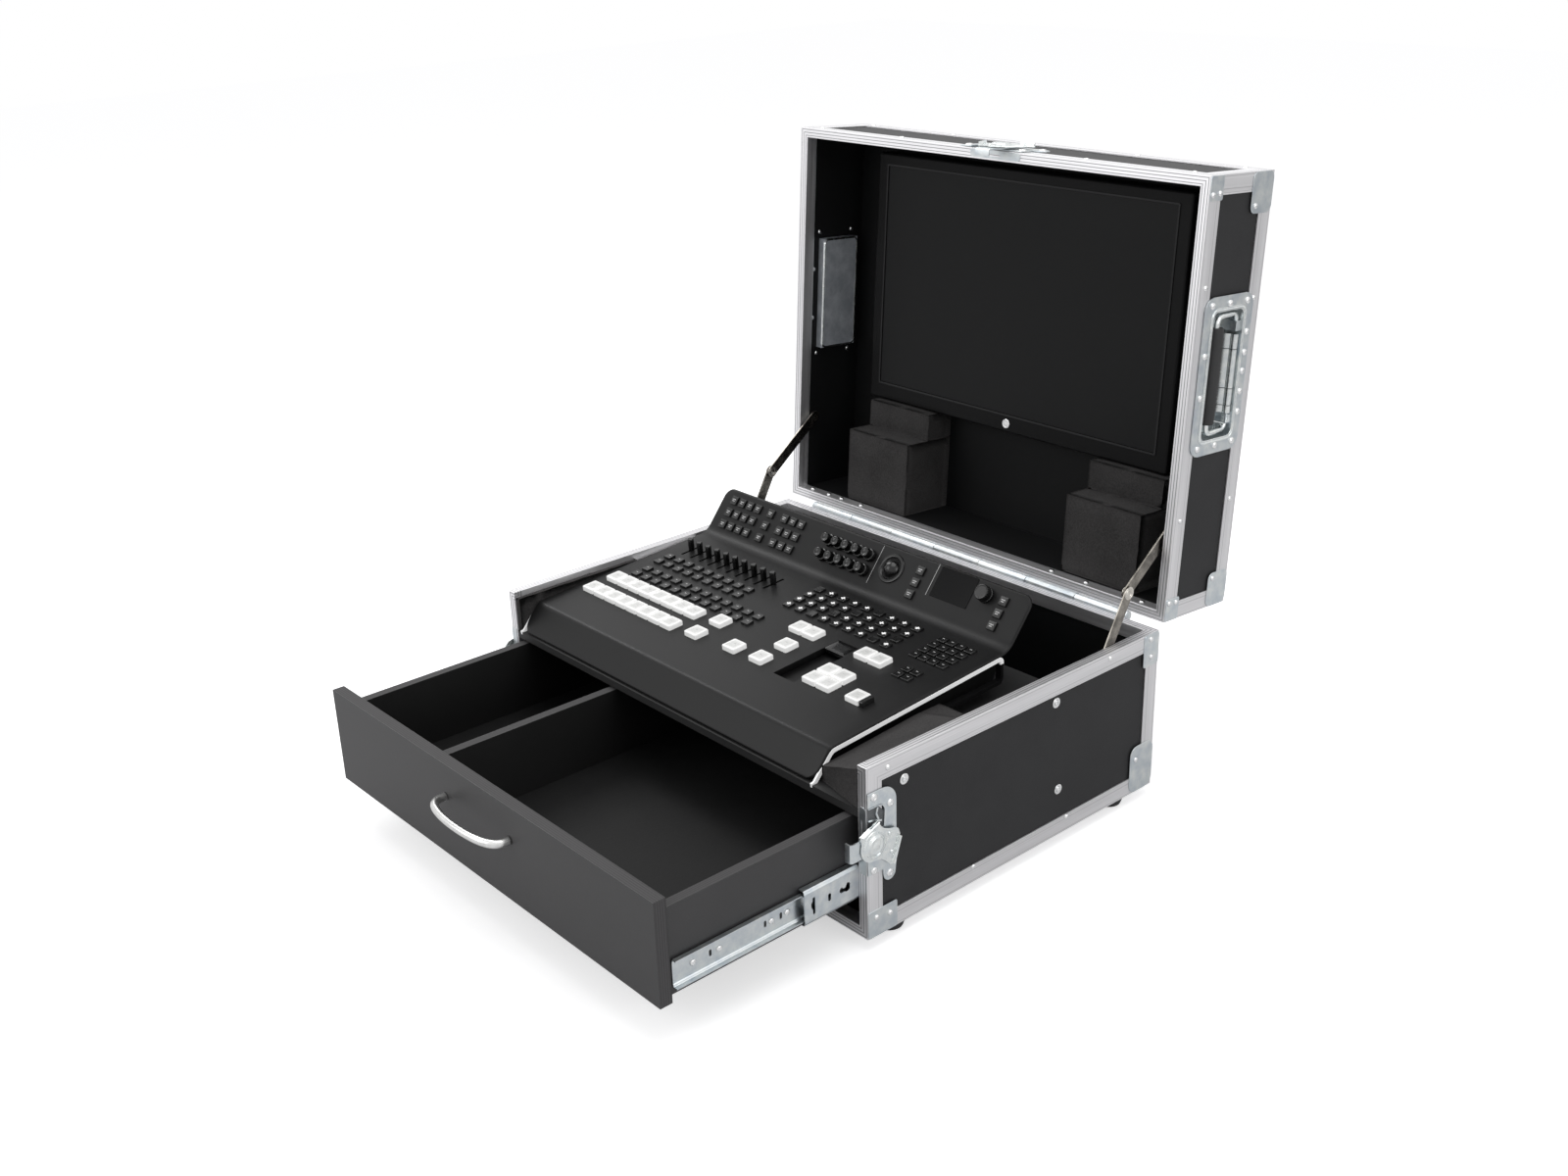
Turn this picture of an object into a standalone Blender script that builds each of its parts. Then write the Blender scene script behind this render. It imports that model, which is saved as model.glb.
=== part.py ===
"""Video switcher case, standing open: a flight case with a drawer, a control console and a lid monitor.

Everything is modelled in metres in the frame of the base: x to the right, y from front to back with 0 at
the middle of the base, z up with 0 at the underside of the base. The root empty lifts that frame by the
height of the feet and moves it so that the origin lies under the middle of the opened case.
"""
import math

import bpy
import bmesh
from mathutils import Matrix, Vector

# Case body
CASE_WIDTH = 0.660
BASE_DEPTH = 0.480
BASE_HEIGHT = 0.206
LID_DEPTH = 0.516
LID_HEIGHT = 0.120
LID_OPEN = math.radians(94.0)
PLY = 0.009
CLEAR = 0.0003

# Aluminium sections
SKIN = 0.0015
LEG = 0.022
INNER_LEG = 0.018
RIM_FACE = 0.0035
ANGLE_LAP = 0.002
ANGLE_STEP = 0.00015
RIM_WIDTH = 2 * SKIN + 2 * CLEAR + PLY

# Hinge
HINGE_SET = 0.0065
RIM_SEAM = 0.0005
HINGE_LEAF = 0.034
HINGE_KNUCKLES = 7
HINGE_PIN = 0.002
HINGE_END_GAP = 0.050
PIN_RUN = 0.0006
KNUCKLE_RUN = 0.0008

# Feet
FOOT_HEIGHT = 0.014
FOOT_RADIUS = 0.019
FOOT_TAPER = 0.0035
FOOT_INSET_X = 0.0225
FOOT_INSET_Y = 0.053

# Shelf and packing foam of the base
SHELF_REACH = 0.278
SHELF_TAIL = 0.085
SHELF_TAIL_WIDTH = 0.600
FOAM_DROP = 0.0052
FOAM_REACH = 0.162
FOAM_TOE = 0.032
FOAM_TOE_HEIGHT = 0.028
FOAM_SKEW = 0.014
FOAM_LEFT_FRONT = 0.172
FOAM_LEFT_REAR = 0.182

# Drawer
DRAWER_OUT = 0.2465
DRAWER_MORE = 0.130
DRAWER_STOP = 0.0005
FRONT_PLY = 0.015
FRONT_GAP = 0.0014
FRONT_LOW = 0.040
FRONT_BELOW = 0.002
FRONT_ABOVE = 0.0065
DRAWER_PLY = 0.012
DRAWER_HEIGHT = 0.100
DRAWER_HEADROOM = 0.0025
DRAWER_LENGTH = 0.400
DRAWER_BOTTOM = 0.006
DRAWER_BOTTOM_RISE = 0.006
DIVIDER_X = -0.112
PULL_SPAN = 0.128
PULL_REACH = 0.032
PULL_RADIUS = 0.0048
PULL_FROM_TOP = 0.042

# Ball bearing slides
SLIDE_THICKNESS = 0.0117
SLIDE_LENGTH = 0.400
SLIDE_RISE = 0.025
SLIDE_SHEET = 0.0012
SLIDE_HEIGHT = 0.045
SLIDE_MID_HEIGHT = 0.0420
SLIDE_INNER_HEIGHT = 0.033
SLIDE_MID_OUT = 0.083
SLIDE_SET_BACK = 0.025
SLIDE_FRONT_SET = 0.007

# Butterfly latches
LATCH_PLATE = 0.0015
LATCH_DEPTH = 0.0415
LATCH_TOP = -0.0594
LATCH_BOTTOM = 0.038
LATCH_ROUND = 0.020
LATCH_NECK = -0.0215
LATCH_EAR = (-0.0311, 0.0455)
LATCH_EAR_RADIUS = 0.0088
WINDOW_TOP = -0.0425
WINDOW_BOTTOM = -0.014
WINDOW_BACK = -0.0248
LATCH_Z = 0.117
LID_LATCH_X = 0.022
HOOK_SHEET = 0.002
HOOK_WIDTH = 0.022
HOOK_OUT = 0.0265
HOOK_TRAVEL = 0.008
HOOK_LIP = 0.007
HOOK_BACK = 0.026
WING_SHEET = 0.0016
WING_DISC = 0.0198
WING_FOLD = 0.0050
WING_HEAD = 0.0100
WING_HEAD_RISE = 0.0030
WING_UPPER = ((0.0150, -0.0175), (-0.0110, -0.0280))
WING_LOWER = ((-0.0430, 0.0010), (-0.0314, 0.0340))
WING_AXLE = 0.0035
WING_AXLE_BACK = 0.006

# Console
CONSOLE_WIDTH = 0.556
CONSOLE_SIDE_GAP = 0.0102
NOSE_SET = 0.0015
NOSE_HEIGHT = 0.004
CREASE_RUN = 0.0265
CREASE_RISE = 0.0342
DECK_RUN = 0.280
DECK_RISE = 0.020
PANEL_RUN = 0.044
PANEL_RISE = 0.054
CONSOLE_SHEET = 0.014
CONSOLE_WALL = 0.0025
CONSOLE_EDGE = 0.008
CONSOLE_CORNER = 0.015
BELLY_INSET = 0.022
LOOP_THICKNESS = 0.008
LOOP_BAR = 0.006

# Keys and other controls: places are across the console from its middle, and up the deck or the raised panel
KEY_PITCH = 0.0232
KEY_SIZE = 0.0218
KEY_RISE = 0.0065
SMALL_KEY = 0.0105
SMALL_RISE = 0.0020
KEY_RUN = 0.00035
CARRIER = 0.0015
FADER_RADIUS = 0.0042
FADER_HEIGHT = 0.017
FADER_STEM = 0.0015
FADER_SLOT = 0.035
FADER_AT = (-0.243, 0.228)
FADER_PITCH = 0.0187
KNOB_RADIUS = 0.0105
KNOB_HEIGHT = 0.013
KNOB_SHAFT = 0.003
CLUSTER_RADIUS = 0.0068
CLUSTER_HEIGHT = 0.014
BALL_RADIUS = 0.0125
BALL_SINK = 0.004
BALL_RUN = 0.0004
BUS_AT = (-0.2477, 0.069)
BUS_ROWS = 0.038
CUT_AT = ((-0.041, 0.074), (-0.041, 0.1125), (0.024, 0.080), (0.070, 0.082), (0.070, 0.122))
AUTO_AT = (0.0498, 0.163)
MACRO_AT = (-0.241, 0.1335)
MACRO_PITCH = (0.0205, 0.018)
TALLY_AT = (-0.248, 0.176)
QUAD_AT = (0.1564, 0.0885)
FADE_AT = (0.226, 0.090)
PAIR_AT = (0.1604, 0.166)
SHORTCUT_AT = (0.2210, 0.158)
SHORTCUT_PITCH = (0.0145, 0.015)
SOURCE_AT = (-0.012, 0.199)
SOURCE_PITCH = (0.0215, 0.0175)
NUMBER_AT = (0.203, 0.204)
NUMBER_PITCH = (0.0145, 0.0155)
PANEL_PITCH = (0.0165, 0.018)
PANEL_LEFT_AT = (-0.252, 0.018)
PANEL_SINGLE_AT = (-0.176, 0.018)
PANEL_MIDDLE_AT = (-0.148, 0.018)
PANEL_MENU_AT = ((0.106, 0.020), (0.241, 0.020))
PANEL_MENU_PITCH = 0.016
CLUSTER_AT = (-0.054, 0.027)
CLUSTER_PITCH = (0.0185, 0.021)
LEVER_SLOT = (0.1055, 0.070, 0.1405, 0.174)
LEVER_HEAD = 0.024
LEVER_LIP = 0.0015
KNOB_PLACE = (0.213, 0.052)
BALL_PLACE = (0.060, 0.042)
CARRIER_EDGE = 0.0035
CARRIER_BAND = 0.006

# Recessed lid handles
DISH_LENGTH = 0.184
DISH_WIDTH = 0.092
DISH_CORNER = 0.015
PAN_LENGTH = 0.152
PAN_WIDTH = 0.062
PAN_DEPTH = 0.024
DISH_FROM_HINGE = 0.290
BAIL_WIRE = 0.0038
BAIL_LEG = 0.0405
BAIL_SPAN = 0.136
BAIL_STUB = 0.020
BAIL_FROM_FACE = 0.007
GRIP_PROUD = 0.003
BAIL_UP = 0.0245
GRIP_RADIUS = 0.0095
GRIP_LENGTH = 0.112
LUG = 0.012
LUG_RUN = 0.0006

# Monitor and packing foam of the lid
SCREEN_WIDTH = 0.474
SCREEN_LENGTH = 0.296
SCREEN_RECESS = 0.0015
BEZEL_SIDE = 0.020
BEZEL_CHIN = 0.0245
BEZEL_BROW = 0.0165
MONITOR_THICKNESS = 0.031
MONITOR_FRONT_GAP = 0.0192
LID_FOAM_WIDTH = 0.114
LID_FOAM_GAPS = (0.0792, 0.0532)
LID_FOAM_LOW = 0.025
LID_FOAM_STEP = 0.064
LID_FOAM_SHELF = 0.037

# Folding stays
STAY_BASE_FROM_HINGE = 0.0965
STAY_BASE_DROP = 0.026
STAY_LID_FROM_HINGE = 0.115
STAY_LID_Z = 0.025
STAY_ELBOW_SHARE = 0.4695
STAY_ELBOW_OFF = 0.0206
STAY_SHEET = 0.002
STAY_WIDTH = 0.015
STAY_BOSS = 0.0055

HALF_WIDTH = CASE_WIDTH / 2
HALF_DEPTH = BASE_DEPTH / 2
PANEL_OUT = HALF_WIDTH - SKIN - CLEAR
PANEL_IN = PANEL_OUT - PLY
REAR_OUT = HALF_DEPTH - SKIN - CLEAR
REAR_IN = REAR_OUT - PLY
FLOOR_TOP = SKIN + CLEAR + PLY
HINGE_Y = HALF_DEPTH + HINGE_SET
DRAWER_LOW = FRONT_LOW + FRONT_BELOW
DRAWER_HIGH = DRAWER_LOW + DRAWER_HEIGHT
SHELF_TOP = DRAWER_HIGH + DRAWER_HEADROOM + PLY
FRONT_HIGH = SHELF_TOP + FRONT_ABOVE
FRONT_WIDTH = 2 * (HALF_WIDTH - RIM_WIDTH - FRONT_GAP)
PULL_Z = FRONT_HIGH - PULL_FROM_TOP
SLIDE_Z = DRAWER_LOW + SLIDE_RISE
CONSOLE_X = -PANEL_IN + CONSOLE_SIDE_GAP + CONSOLE_WIDTH / 2
NOSE_Y = -HALF_DEPTH + NOSE_SET
CREASE_Y = NOSE_Y + CREASE_RUN
CREASE_Z = SHELF_TOP + CLEAR + CREASE_RISE
DECK_END_Y = CREASE_Y + DECK_RUN
DECK_END_Z = CREASE_Z + DECK_RISE
PANEL_END_Y = DECK_END_Y + PANEL_RUN
PANEL_END_Z = DECK_END_Z + PANEL_RISE
MONITOR_WIDTH = SCREEN_WIDTH + 2 * BEZEL_SIDE
MONITOR_LENGTH = SCREEN_LENGTH + BEZEL_CHIN + BEZEL_BROW
MONITOR_FROM_HINGE = LID_DEPTH - SKIN - CLEAR - PLY - MONITOR_FRONT_GAP - MONITOR_LENGTH
SCREEN_FROM_HINGE = MONITOR_FROM_HINGE + BEZEL_CHIN
DRAWER_FACE = -HALF_DEPTH - DRAWER_STOP - FRONT_PLY - DRAWER_OUT
OPEN_FRONT = DRAWER_FACE - PULL_REACH
LID_CORNER = Vector((-HINGE_SET - LID_DEPTH, RIM_SEAM + LID_HEIGHT))
OPEN_BACK = HINGE_Y + LID_CORNER.x * math.cos(LID_OPEN) + LID_CORNER.y * math.sin(LID_OPEN)
ROOT_Y = -(OPEN_FRONT + OPEN_BACK) / 2

for old in list(bpy.data.objects):
    bpy.data.objects.remove(old, do_unlink=True)

PARTS = bpy.data.collections.new("video_switcher_case")
TOOLS = bpy.data.collections.new("cutters")
for made in (PARTS, TOOLS):
    bpy.context.scene.collection.children.link(made)
TOOLS.hide_render = True


def finish(name, colour, roughness, metallic=0.0):
    """A material with one Principled BSDF."""
    made = bpy.data.materials.new(name)
    made.use_nodes = True
    shader = made.node_tree.nodes["Principled BSDF"]
    shader.inputs["Base Color"].default_value = (*colour, 1.0)
    shader.inputs["Roughness"].default_value = roughness
    shader.inputs["Metallic"].default_value = metallic
    made.diffuse_color = (*colour, 1.0)
    return made


LAMINATE = finish("black_laminate", (0.030, 0.030, 0.032), 0.55)
PLYWOOD = finish("painted_plywood", (0.012, 0.012, 0.013), 0.60)
ALUMINIUM = finish("aluminium_section", (0.72, 0.72, 0.74), 0.35, 1.0)
ZINC = finish("zinc_steel", (0.62, 0.66, 0.67), 0.30, 1.0)
NICKEL = finish("nickel_steel", (0.55, 0.53, 0.48), 0.28, 1.0)
RUBBER = finish("black_rubber", (0.015, 0.015, 0.016), 0.75)
FOAM = finish("grey_foam", (0.045, 0.045, 0.048), 0.95)
PLASTIC = finish("console_plastic", (0.028, 0.028, 0.030), 0.50)
BEZEL = finish("monitor_plastic", (0.012, 0.012, 0.013), 0.35)
CLEAR_KEY = finish("translucent_key", (0.80, 0.81, 0.80), 0.25)
DARK_KEY = finish("dark_key", (0.020, 0.020, 0.022), 0.45)


def empty(name, place, parent=None, turn=(0.0, 0.0, 0.0)):
    made = bpy.data.objects.new(name, None)
    PARTS.objects.link(made)
    made.parent = parent
    made.location = place
    made.rotation_euler = turn
    return made


def add(name, mesh, material, parent):
    made = bpy.data.objects.new(name, mesh)
    PARTS.objects.link(made)
    made.parent = parent
    if material:
        mesh.materials.append(material)
    return made


def settle(shape, name):
    """A bmesh with its doubles merged and its faces turned outward, as a mesh."""
    bmesh.ops.remove_doubles(shape, verts=shape.verts, dist=1e-6)
    bmesh.ops.recalc_face_normals(shape, faces=shape.faces)
    mesh = bpy.data.meshes.new(name)
    shape.to_mesh(mesh)
    shape.free()
    return mesh


def box(name, low, high, material=None, parent=None, bevel=0.0):
    """A block between two corners, with its upright scale applied before any Bevel."""
    shape = bmesh.new()
    bmesh.ops.create_cube(shape, size=1.0)
    low, high = Vector(low), Vector(high)
    bmesh.ops.scale(shape, vec=high - low, verts=shape.verts)
    bmesh.ops.translate(shape, vec=(low + high) / 2, verts=shape.verts)
    made = add(name, settle(shape, name), material, parent)
    if bevel:
        rounded = made.modifiers.new("rounded_edges", "BEVEL")
        rounded.width = bevel
        rounded.segments = 2
    return made


def rod(name, start, end, radius, material=None, parent=None, sides=20, end_radius=None):
    """A round bar or a cone between two points."""
    start, end = Vector(start), Vector(end)
    run = end - start
    shape = bmesh.new()
    bmesh.ops.create_cone(shape, cap_ends=True, segments=sides, radius1=radius,
                          radius2=radius if end_radius is None else end_radius, depth=run.length)
    turn = run.to_track_quat("Z", "Y").to_matrix().to_4x4()
    bmesh.ops.transform(shape, matrix=Matrix.Translation((start + end) / 2) @ turn, verts=shape.verts)
    made = add(name, settle(shape, name), material, parent)
    made.data.shade_smooth()
    made.data.set_sharp_from_angle(angle=math.radians(40))
    return made


PLANES = {
    "XY": Matrix(((1, 0, 0), (0, 1, 0), (0, 0, 1))).to_4x4(),
    "YZ": Matrix(((0, 0, 1), (1, 0, 0), (0, 1, 0))).to_4x4(),
    "XZ": Matrix(((1, 0, 0), (0, 0, -1), (0, 1, 0))).to_4x4(),
}


def as_mesh(curve_object, name):
    """The evaluated mesh of a curve, with its caps welded on, and the curve removed."""
    bpy.context.view_layer.update()
    graph = bpy.context.evaluated_depsgraph_get()
    mesh = bpy.data.meshes.new_from_object(curve_object.evaluated_get(graph))
    mesh.name = name
    shape = bmesh.new()
    shape.from_mesh(mesh)
    bmesh.ops.remove_doubles(shape, verts=shape.verts, dist=1e-6)
    bmesh.ops.recalc_face_normals(shape, faces=shape.faces)
    shape.to_mesh(mesh)
    shape.free()
    bpy.data.objects.remove(curve_object, do_unlink=True)
    return mesh


def slab(name, outlines, low, high, plane, material=None, parent=None):
    """Flat outlines in a plane, the first one solid and the others holes, from low to high across it.

    XY is extruded along +Z, YZ along +X and XZ along -Y, so there low and high are heights on -Y.
    """
    curve = bpy.data.curves.new(name, "CURVE")
    curve.dimensions = "2D"
    curve.fill_mode = "BOTH"
    curve.extrude = (high - low) / 2
    for outline in outlines:
        spline = curve.splines.new("POLY")
        spline.points.add(len(outline) - 1)
        for point, place in zip(spline.points, outline):
            point.co = (place[0], place[1], 0.0, 1.0)
        spline.use_cyclic_u = True
    flat = bpy.data.objects.new(name, curve)
    PARTS.objects.link(flat)
    mesh = as_mesh(flat, name)
    mesh.transform(PLANES[plane] @ Matrix.Translation((0.0, 0.0, (low + high) / 2)))
    return add(name, mesh, material, parent)


def tube(name, points, radius, material=None, parent=None, resolution=2):
    """A bar along points, as a curve with a bevel and filled caps made a mesh."""
    curve = bpy.data.curves.new(name, "CURVE")
    curve.dimensions = "3D"
    curve.bevel_depth = radius
    curve.bevel_resolution = resolution
    curve.use_fill_caps = True
    spline = curve.splines.new("POLY")
    spline.points.add(len(points) - 1)
    for point, place in zip(spline.points, points):
        point.co = (*place, 1.0)
    line = bpy.data.objects.new(name, curve)
    PARTS.objects.link(line)
    made = add(name, as_mesh(line, name), material, parent)
    made.data.shade_smooth()
    made.data.set_sharp_from_angle(angle=math.radians(50))
    return made


def tool(made, parent):
    """Moves an object to the cutters, where a Boolean of another one reads it."""
    for collection in list(made.users_collection):
        collection.objects.unlink(made)
    TOOLS.objects.link(made)
    made.parent = parent
    made.hide_render = True
    made.display_type = "WIRE"


def combine(target, operation, *others):
    for other in others:
        tool(other, target.parent)
        step = target.modifiers.new(other.name, "BOOLEAN")
        step.operation = operation
        step.solver = "EXACT"
        step.object = other
    return target


def cut(target, *others):
    return combine(target, "DIFFERENCE", *others)


def join(target, *others):
    return combine(target, "UNION", *others)


def mitred_section(name, corners, across, inward, profile, closed, material=None, parent=None):
    """A section carried along straight runs and mitred where they meet.

    Run i goes from corner i to the next one. Its section's first coordinate is measured along across[i],
    from the outer face in, and its second along inward[i], from the rim in. At a corner the section is
    carried along the run until it meets the plane that halves the turn.
    """
    corners = [Vector(corner) for corner in corners]
    across = [Vector(side) for side in across]
    inward = [Vector(side) for side in inward]
    count = len(corners)
    runs = [(corners[(i + 1) % count] - corners[i]).normalized() for i in range(len(across))]
    shape = bmesh.new()
    rings = []
    for i, corner in enumerate(corners):
        before = runs[i - 1] if closed or i > 0 else runs[0]
        after = runs[i] if i < len(runs) else runs[-1]
        use = min(i, len(runs) - 1)
        normal = (before + after).normalized()
        ring = []
        for u, v in profile:
            place = across[use] * u + inward[use] * v
            place -= runs[use] * (place.dot(normal) / runs[use].dot(normal))
            ring.append(shape.verts.new(corner + place))
        rings.append(ring)
    sides = len(profile)
    for i in range(len(runs)):
        ring, following = rings[i], rings[(i + 1) % count]
        for k in range(sides):
            n = (k + 1) % sides
            shape.faces.new((ring[k], ring[n], following[n], following[k]))
    if not closed:
        shape.faces.new(rings[0])
        shape.faces.new(rings[-1])
    return add(name, settle(shape, name), material, parent)


def rounded_rectangle(centre, width, height, radius, steps=4):
    """Corner points of a rectangle with quarter-circle corners, anticlockwise."""
    points = []
    for k, (sx, sy) in enumerate(((1, 1), (-1, 1), (-1, -1), (1, -1))):
        middle = (centre[0] + sx * (width / 2 - radius), centre[1] + sy * (height / 2 - radius))
        for step in range(steps + 1):
            angle = math.pi / 2 * (k + step / steps)
            points.append((middle[0] + radius * math.cos(angle), middle[1] + radius * math.sin(angle)))
    return points


def rounded_path(points, radius, steps=3):
    """A path with its inner corners turned into short bends."""
    points = [Vector(point) for point in points]
    path = [points[0]]
    for before, corner, after in zip(points, points[1:], points[2:]):
        start = corner + (before - corner).normalized() * radius
        end = corner + (after - corner).normalized() * radius
        for i in range(steps + 1):
            t = i / steps
            path.append(start * (1 - t) ** 2 + corner * 2 * t * (1 - t) + end * t ** 2)
    path.append(points[-1])
    return path


def mirrored(points):
    return [(-x, *rest) for x, *rest in points]


def rectangle(low_x, low_y, high_x, high_y):
    return [(low_x, low_y), (high_x, low_y), (high_x, high_y), (low_x, high_y)]


ROOT = empty("case_root", (0.0, ROOT_Y, FOOT_HEIGHT))
LID = empty("lid_axis", (0.0, HINGE_Y, BASE_HEIGHT), ROOT, (-LID_OPEN, 0.0, 0.0))
DRAWER = empty("drawer_frame", (0.0, DRAWER_FACE, 0.0), ROOT)

RIM_PROFILE = [
    (0.0, 0.0), (RIM_WIDTH, 0.0), (RIM_WIDTH, INNER_LEG), (RIM_WIDTH - SKIN, INNER_LEG),
    (RIM_WIDTH - SKIN, RIM_FACE), (SKIN, RIM_FACE), (SKIN, LEG), (0.0, LEG),
]
ANGLE_PROFILE = [(0.0, 0.0), (LEG, 0.0), (LEG, SKIN), (SKIN, SKIN), (SKIN, LEG), (0.0, LEG)]
STEPPED_ANGLE = [
    (ANGLE_STEP, ANGLE_STEP), (LEG, ANGLE_STEP), (LEG, SKIN - ANGLE_STEP),
    (SKIN - ANGLE_STEP, SKIN - ANGLE_STEP), (SKIN - ANGLE_STEP, LEG), (ANGLE_STEP, LEG),
]


def base_shell():
    """Plywood panels let into aluminium sections, mitred round the open top and front."""
    edge = RIM_FACE + CLEAR
    for side, name in ((-1, "left"), (1, "right")):
        x = sorted((side * PANEL_IN, side * PANEL_OUT))
        box("base_side_" + name, (x[0], -HALF_DEPTH + edge, SKIN + CLEAR),
            (x[1], REAR_OUT, BASE_HEIGHT - edge), LAMINATE, ROOT)
    within = PANEL_IN - CLEAR
    box("base_rear_panel", (-within, REAR_IN, SKIN + CLEAR), (within, REAR_OUT, BASE_HEIGHT - edge),
        LAMINATE, ROOT)
    box("base_floor_panel", (-within, -HALF_DEPTH + edge, SKIN + CLEAR), (within, REAR_IN - CLEAR, FLOOR_TOP),
        LAMINATE, ROOT)
    w, d, h = HALF_WIDTH, HALF_DEPTH, BASE_HEIGHT
    left, right, back, up = Vector((-1, 0, 0)), Vector((1, 0, 0)), Vector((0, 1, 0)), Vector((0, 0, 1))
    mitred_section(
        "base_rim",
        [(w, d, h), (-w, d, h), (-w, -d, h), (-w, -d, 0), (w, -d, 0), (w, -d, h)],
        [-back, right, right, up, left, left],
        [-up, -up, back, back, back, -up],
        RIM_PROFILE, True, ALUMINIUM, ROOT)
    start = -HALF_DEPTH + LEG + CLEAR
    angles = mitred_section(
        "base_edge_angles", [(w, start, 0), (w, d, 0), (-w, d, 0), (-w, start, 0)],
        [left, -back, right], [up, up, up], ANGLE_PROFILE, False, ALUMINIUM, ROOT)
    for side, name in ((-1, "left"), (1, "right")):
        inward = right if side < 0 else left
        join(angles, mitred_section(
            "rear_angle_" + name,
            [(side * w, d, LEG - ANGLE_LAP), (side * w, d, BASE_HEIGHT - LEG - CLEAR)],
            [inward], [-back], STEPPED_ANGLE, False))


def feet():
    for sx, x_name in ((-1, "left"), (1, "right")):
        for sy, y_name in ((-1, "front"), (1, "rear")):
            x = sx * (HALF_WIDTH - FOOT_INSET_X)
            y = sy * (HALF_DEPTH - FOOT_INSET_Y)
            rod("foot_{}_{}".format(y_name, x_name), (x, y, -FOOT_HEIGHT), (x, y, -CLEAR),
                FOOT_RADIUS - FOOT_TAPER, RUBBER, ROOT, 20, FOOT_RADIUS)


def shelf_and_foam():
    """The shelf that carries the console over the drawer, and the foam block on its right."""
    low = SHELF_TOP - PLY
    wide = PANEL_IN - CLEAR - SKIN - CLEAR
    front = -HALF_DEPTH
    turn = front + SHELF_REACH
    tail = SHELF_TAIL_WIDTH / 2
    outline = [(-wide, front), (wide, front), (wide, turn), (tail, turn), (tail, turn + SHELF_TAIL),
               (-tail, turn + SHELF_TAIL), (-tail, turn), (-wide, turn)]
    slab("console_shelf", [outline], low, SHELF_TOP, "XY", PLYWOOD, ROOT)
    foam_low = CONSOLE_X + CONSOLE_WIDTH / 2 + CLEAR
    foot = SHELF_TOP + CLEAR
    end = front + FOAM_REACH
    high = BASE_HEIGHT - FOAM_DROP
    step = foot + FOAM_TOE_HEIGHT
    left = [(front + FOAM_SKEW, foot), (end + FOAM_TOE, foot), (end + FOAM_TOE, step), (end, step),
            (end, FOAM_LEFT_REAR), (front + FOAM_SKEW, FOAM_LEFT_FRONT)]
    right = [(front, foot), (end + FOAM_TOE, foot), (end + FOAM_TOE, step), (end, step), (end, high), (front, high)]
    corners = [(foam_low, y, z) for y, z in left] + [(wide, y, z) for y, z in right]
    faces = [(5, 4, 3, 2, 1, 0), (6, 7, 8, 9, 10, 11)]
    faces += [(i, (i + 1) % 6, (i + 1) % 6 + 6, i + 6) for i in range(6)]
    shape = bmesh.new()
    made = [shape.verts.new(corner) for corner in corners]
    for face in faces:
        shape.faces.new([made[i] for i in face])
    bmesh.ops.triangulate(shape, faces=shape.faces)
    add("base_foam_block", settle(shape, "base_foam_block"), FOAM, ROOT)


def channel(outer, inner, height, sheet):
    """Outline of a C-shaped slide member: its web at outer and its flanges reaching to inner."""
    top, bottom = SLIDE_Z + height / 2, SLIDE_Z - height / 2
    step = sheet if outer > inner else -sheet
    return [(outer, bottom), (outer, top), (inner, top), (inner, top - sheet), (outer - step, top - sheet),
            (outer - step, bottom + sheet), (inner, bottom + sheet), (inner, bottom)]


def slides():
    """Full-extension slides of three nested channels on each side of the drawer."""
    wall = PANEL_IN - CLEAR
    drawer_wall = wall - SLIDE_THICKNESS + CLEAR
    passing = HALF_WIDTH - RIM_WIDTH - CLEAR
    outer_web = passing + CLEAR + SLIDE_SHEET
    members = (
        ("slide_outer_", channel(wall, drawer_wall + 2 * CLEAR, SLIDE_HEIGHT, wall - outer_web + SLIDE_SHEET),
         -HALF_DEPTH + SLIDE_SET_BACK, ROOT),
        ("slide_middle_", channel(passing, drawer_wall + 2 * CLEAR, SLIDE_MID_HEIGHT, SLIDE_SHEET),
         -HALF_DEPTH + SLIDE_FRONT_SET - SLIDE_MID_OUT, ROOT),
        ("slide_inner_", channel(drawer_wall, passing - SLIDE_SHEET - CLEAR, SLIDE_INNER_HEIGHT, SLIDE_SHEET),
         FRONT_PLY + SLIDE_FRONT_SET, DRAWER),
    )
    for stem, outline, front, parent in members:
        for side, name in ((1, "right"), (-1, "left")):
            shape = outline if side > 0 else mirrored(outline)
            slab(stem + name, [shape], -front - SLIDE_LENGTH, -front, "XZ", ZINC, parent)


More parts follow.
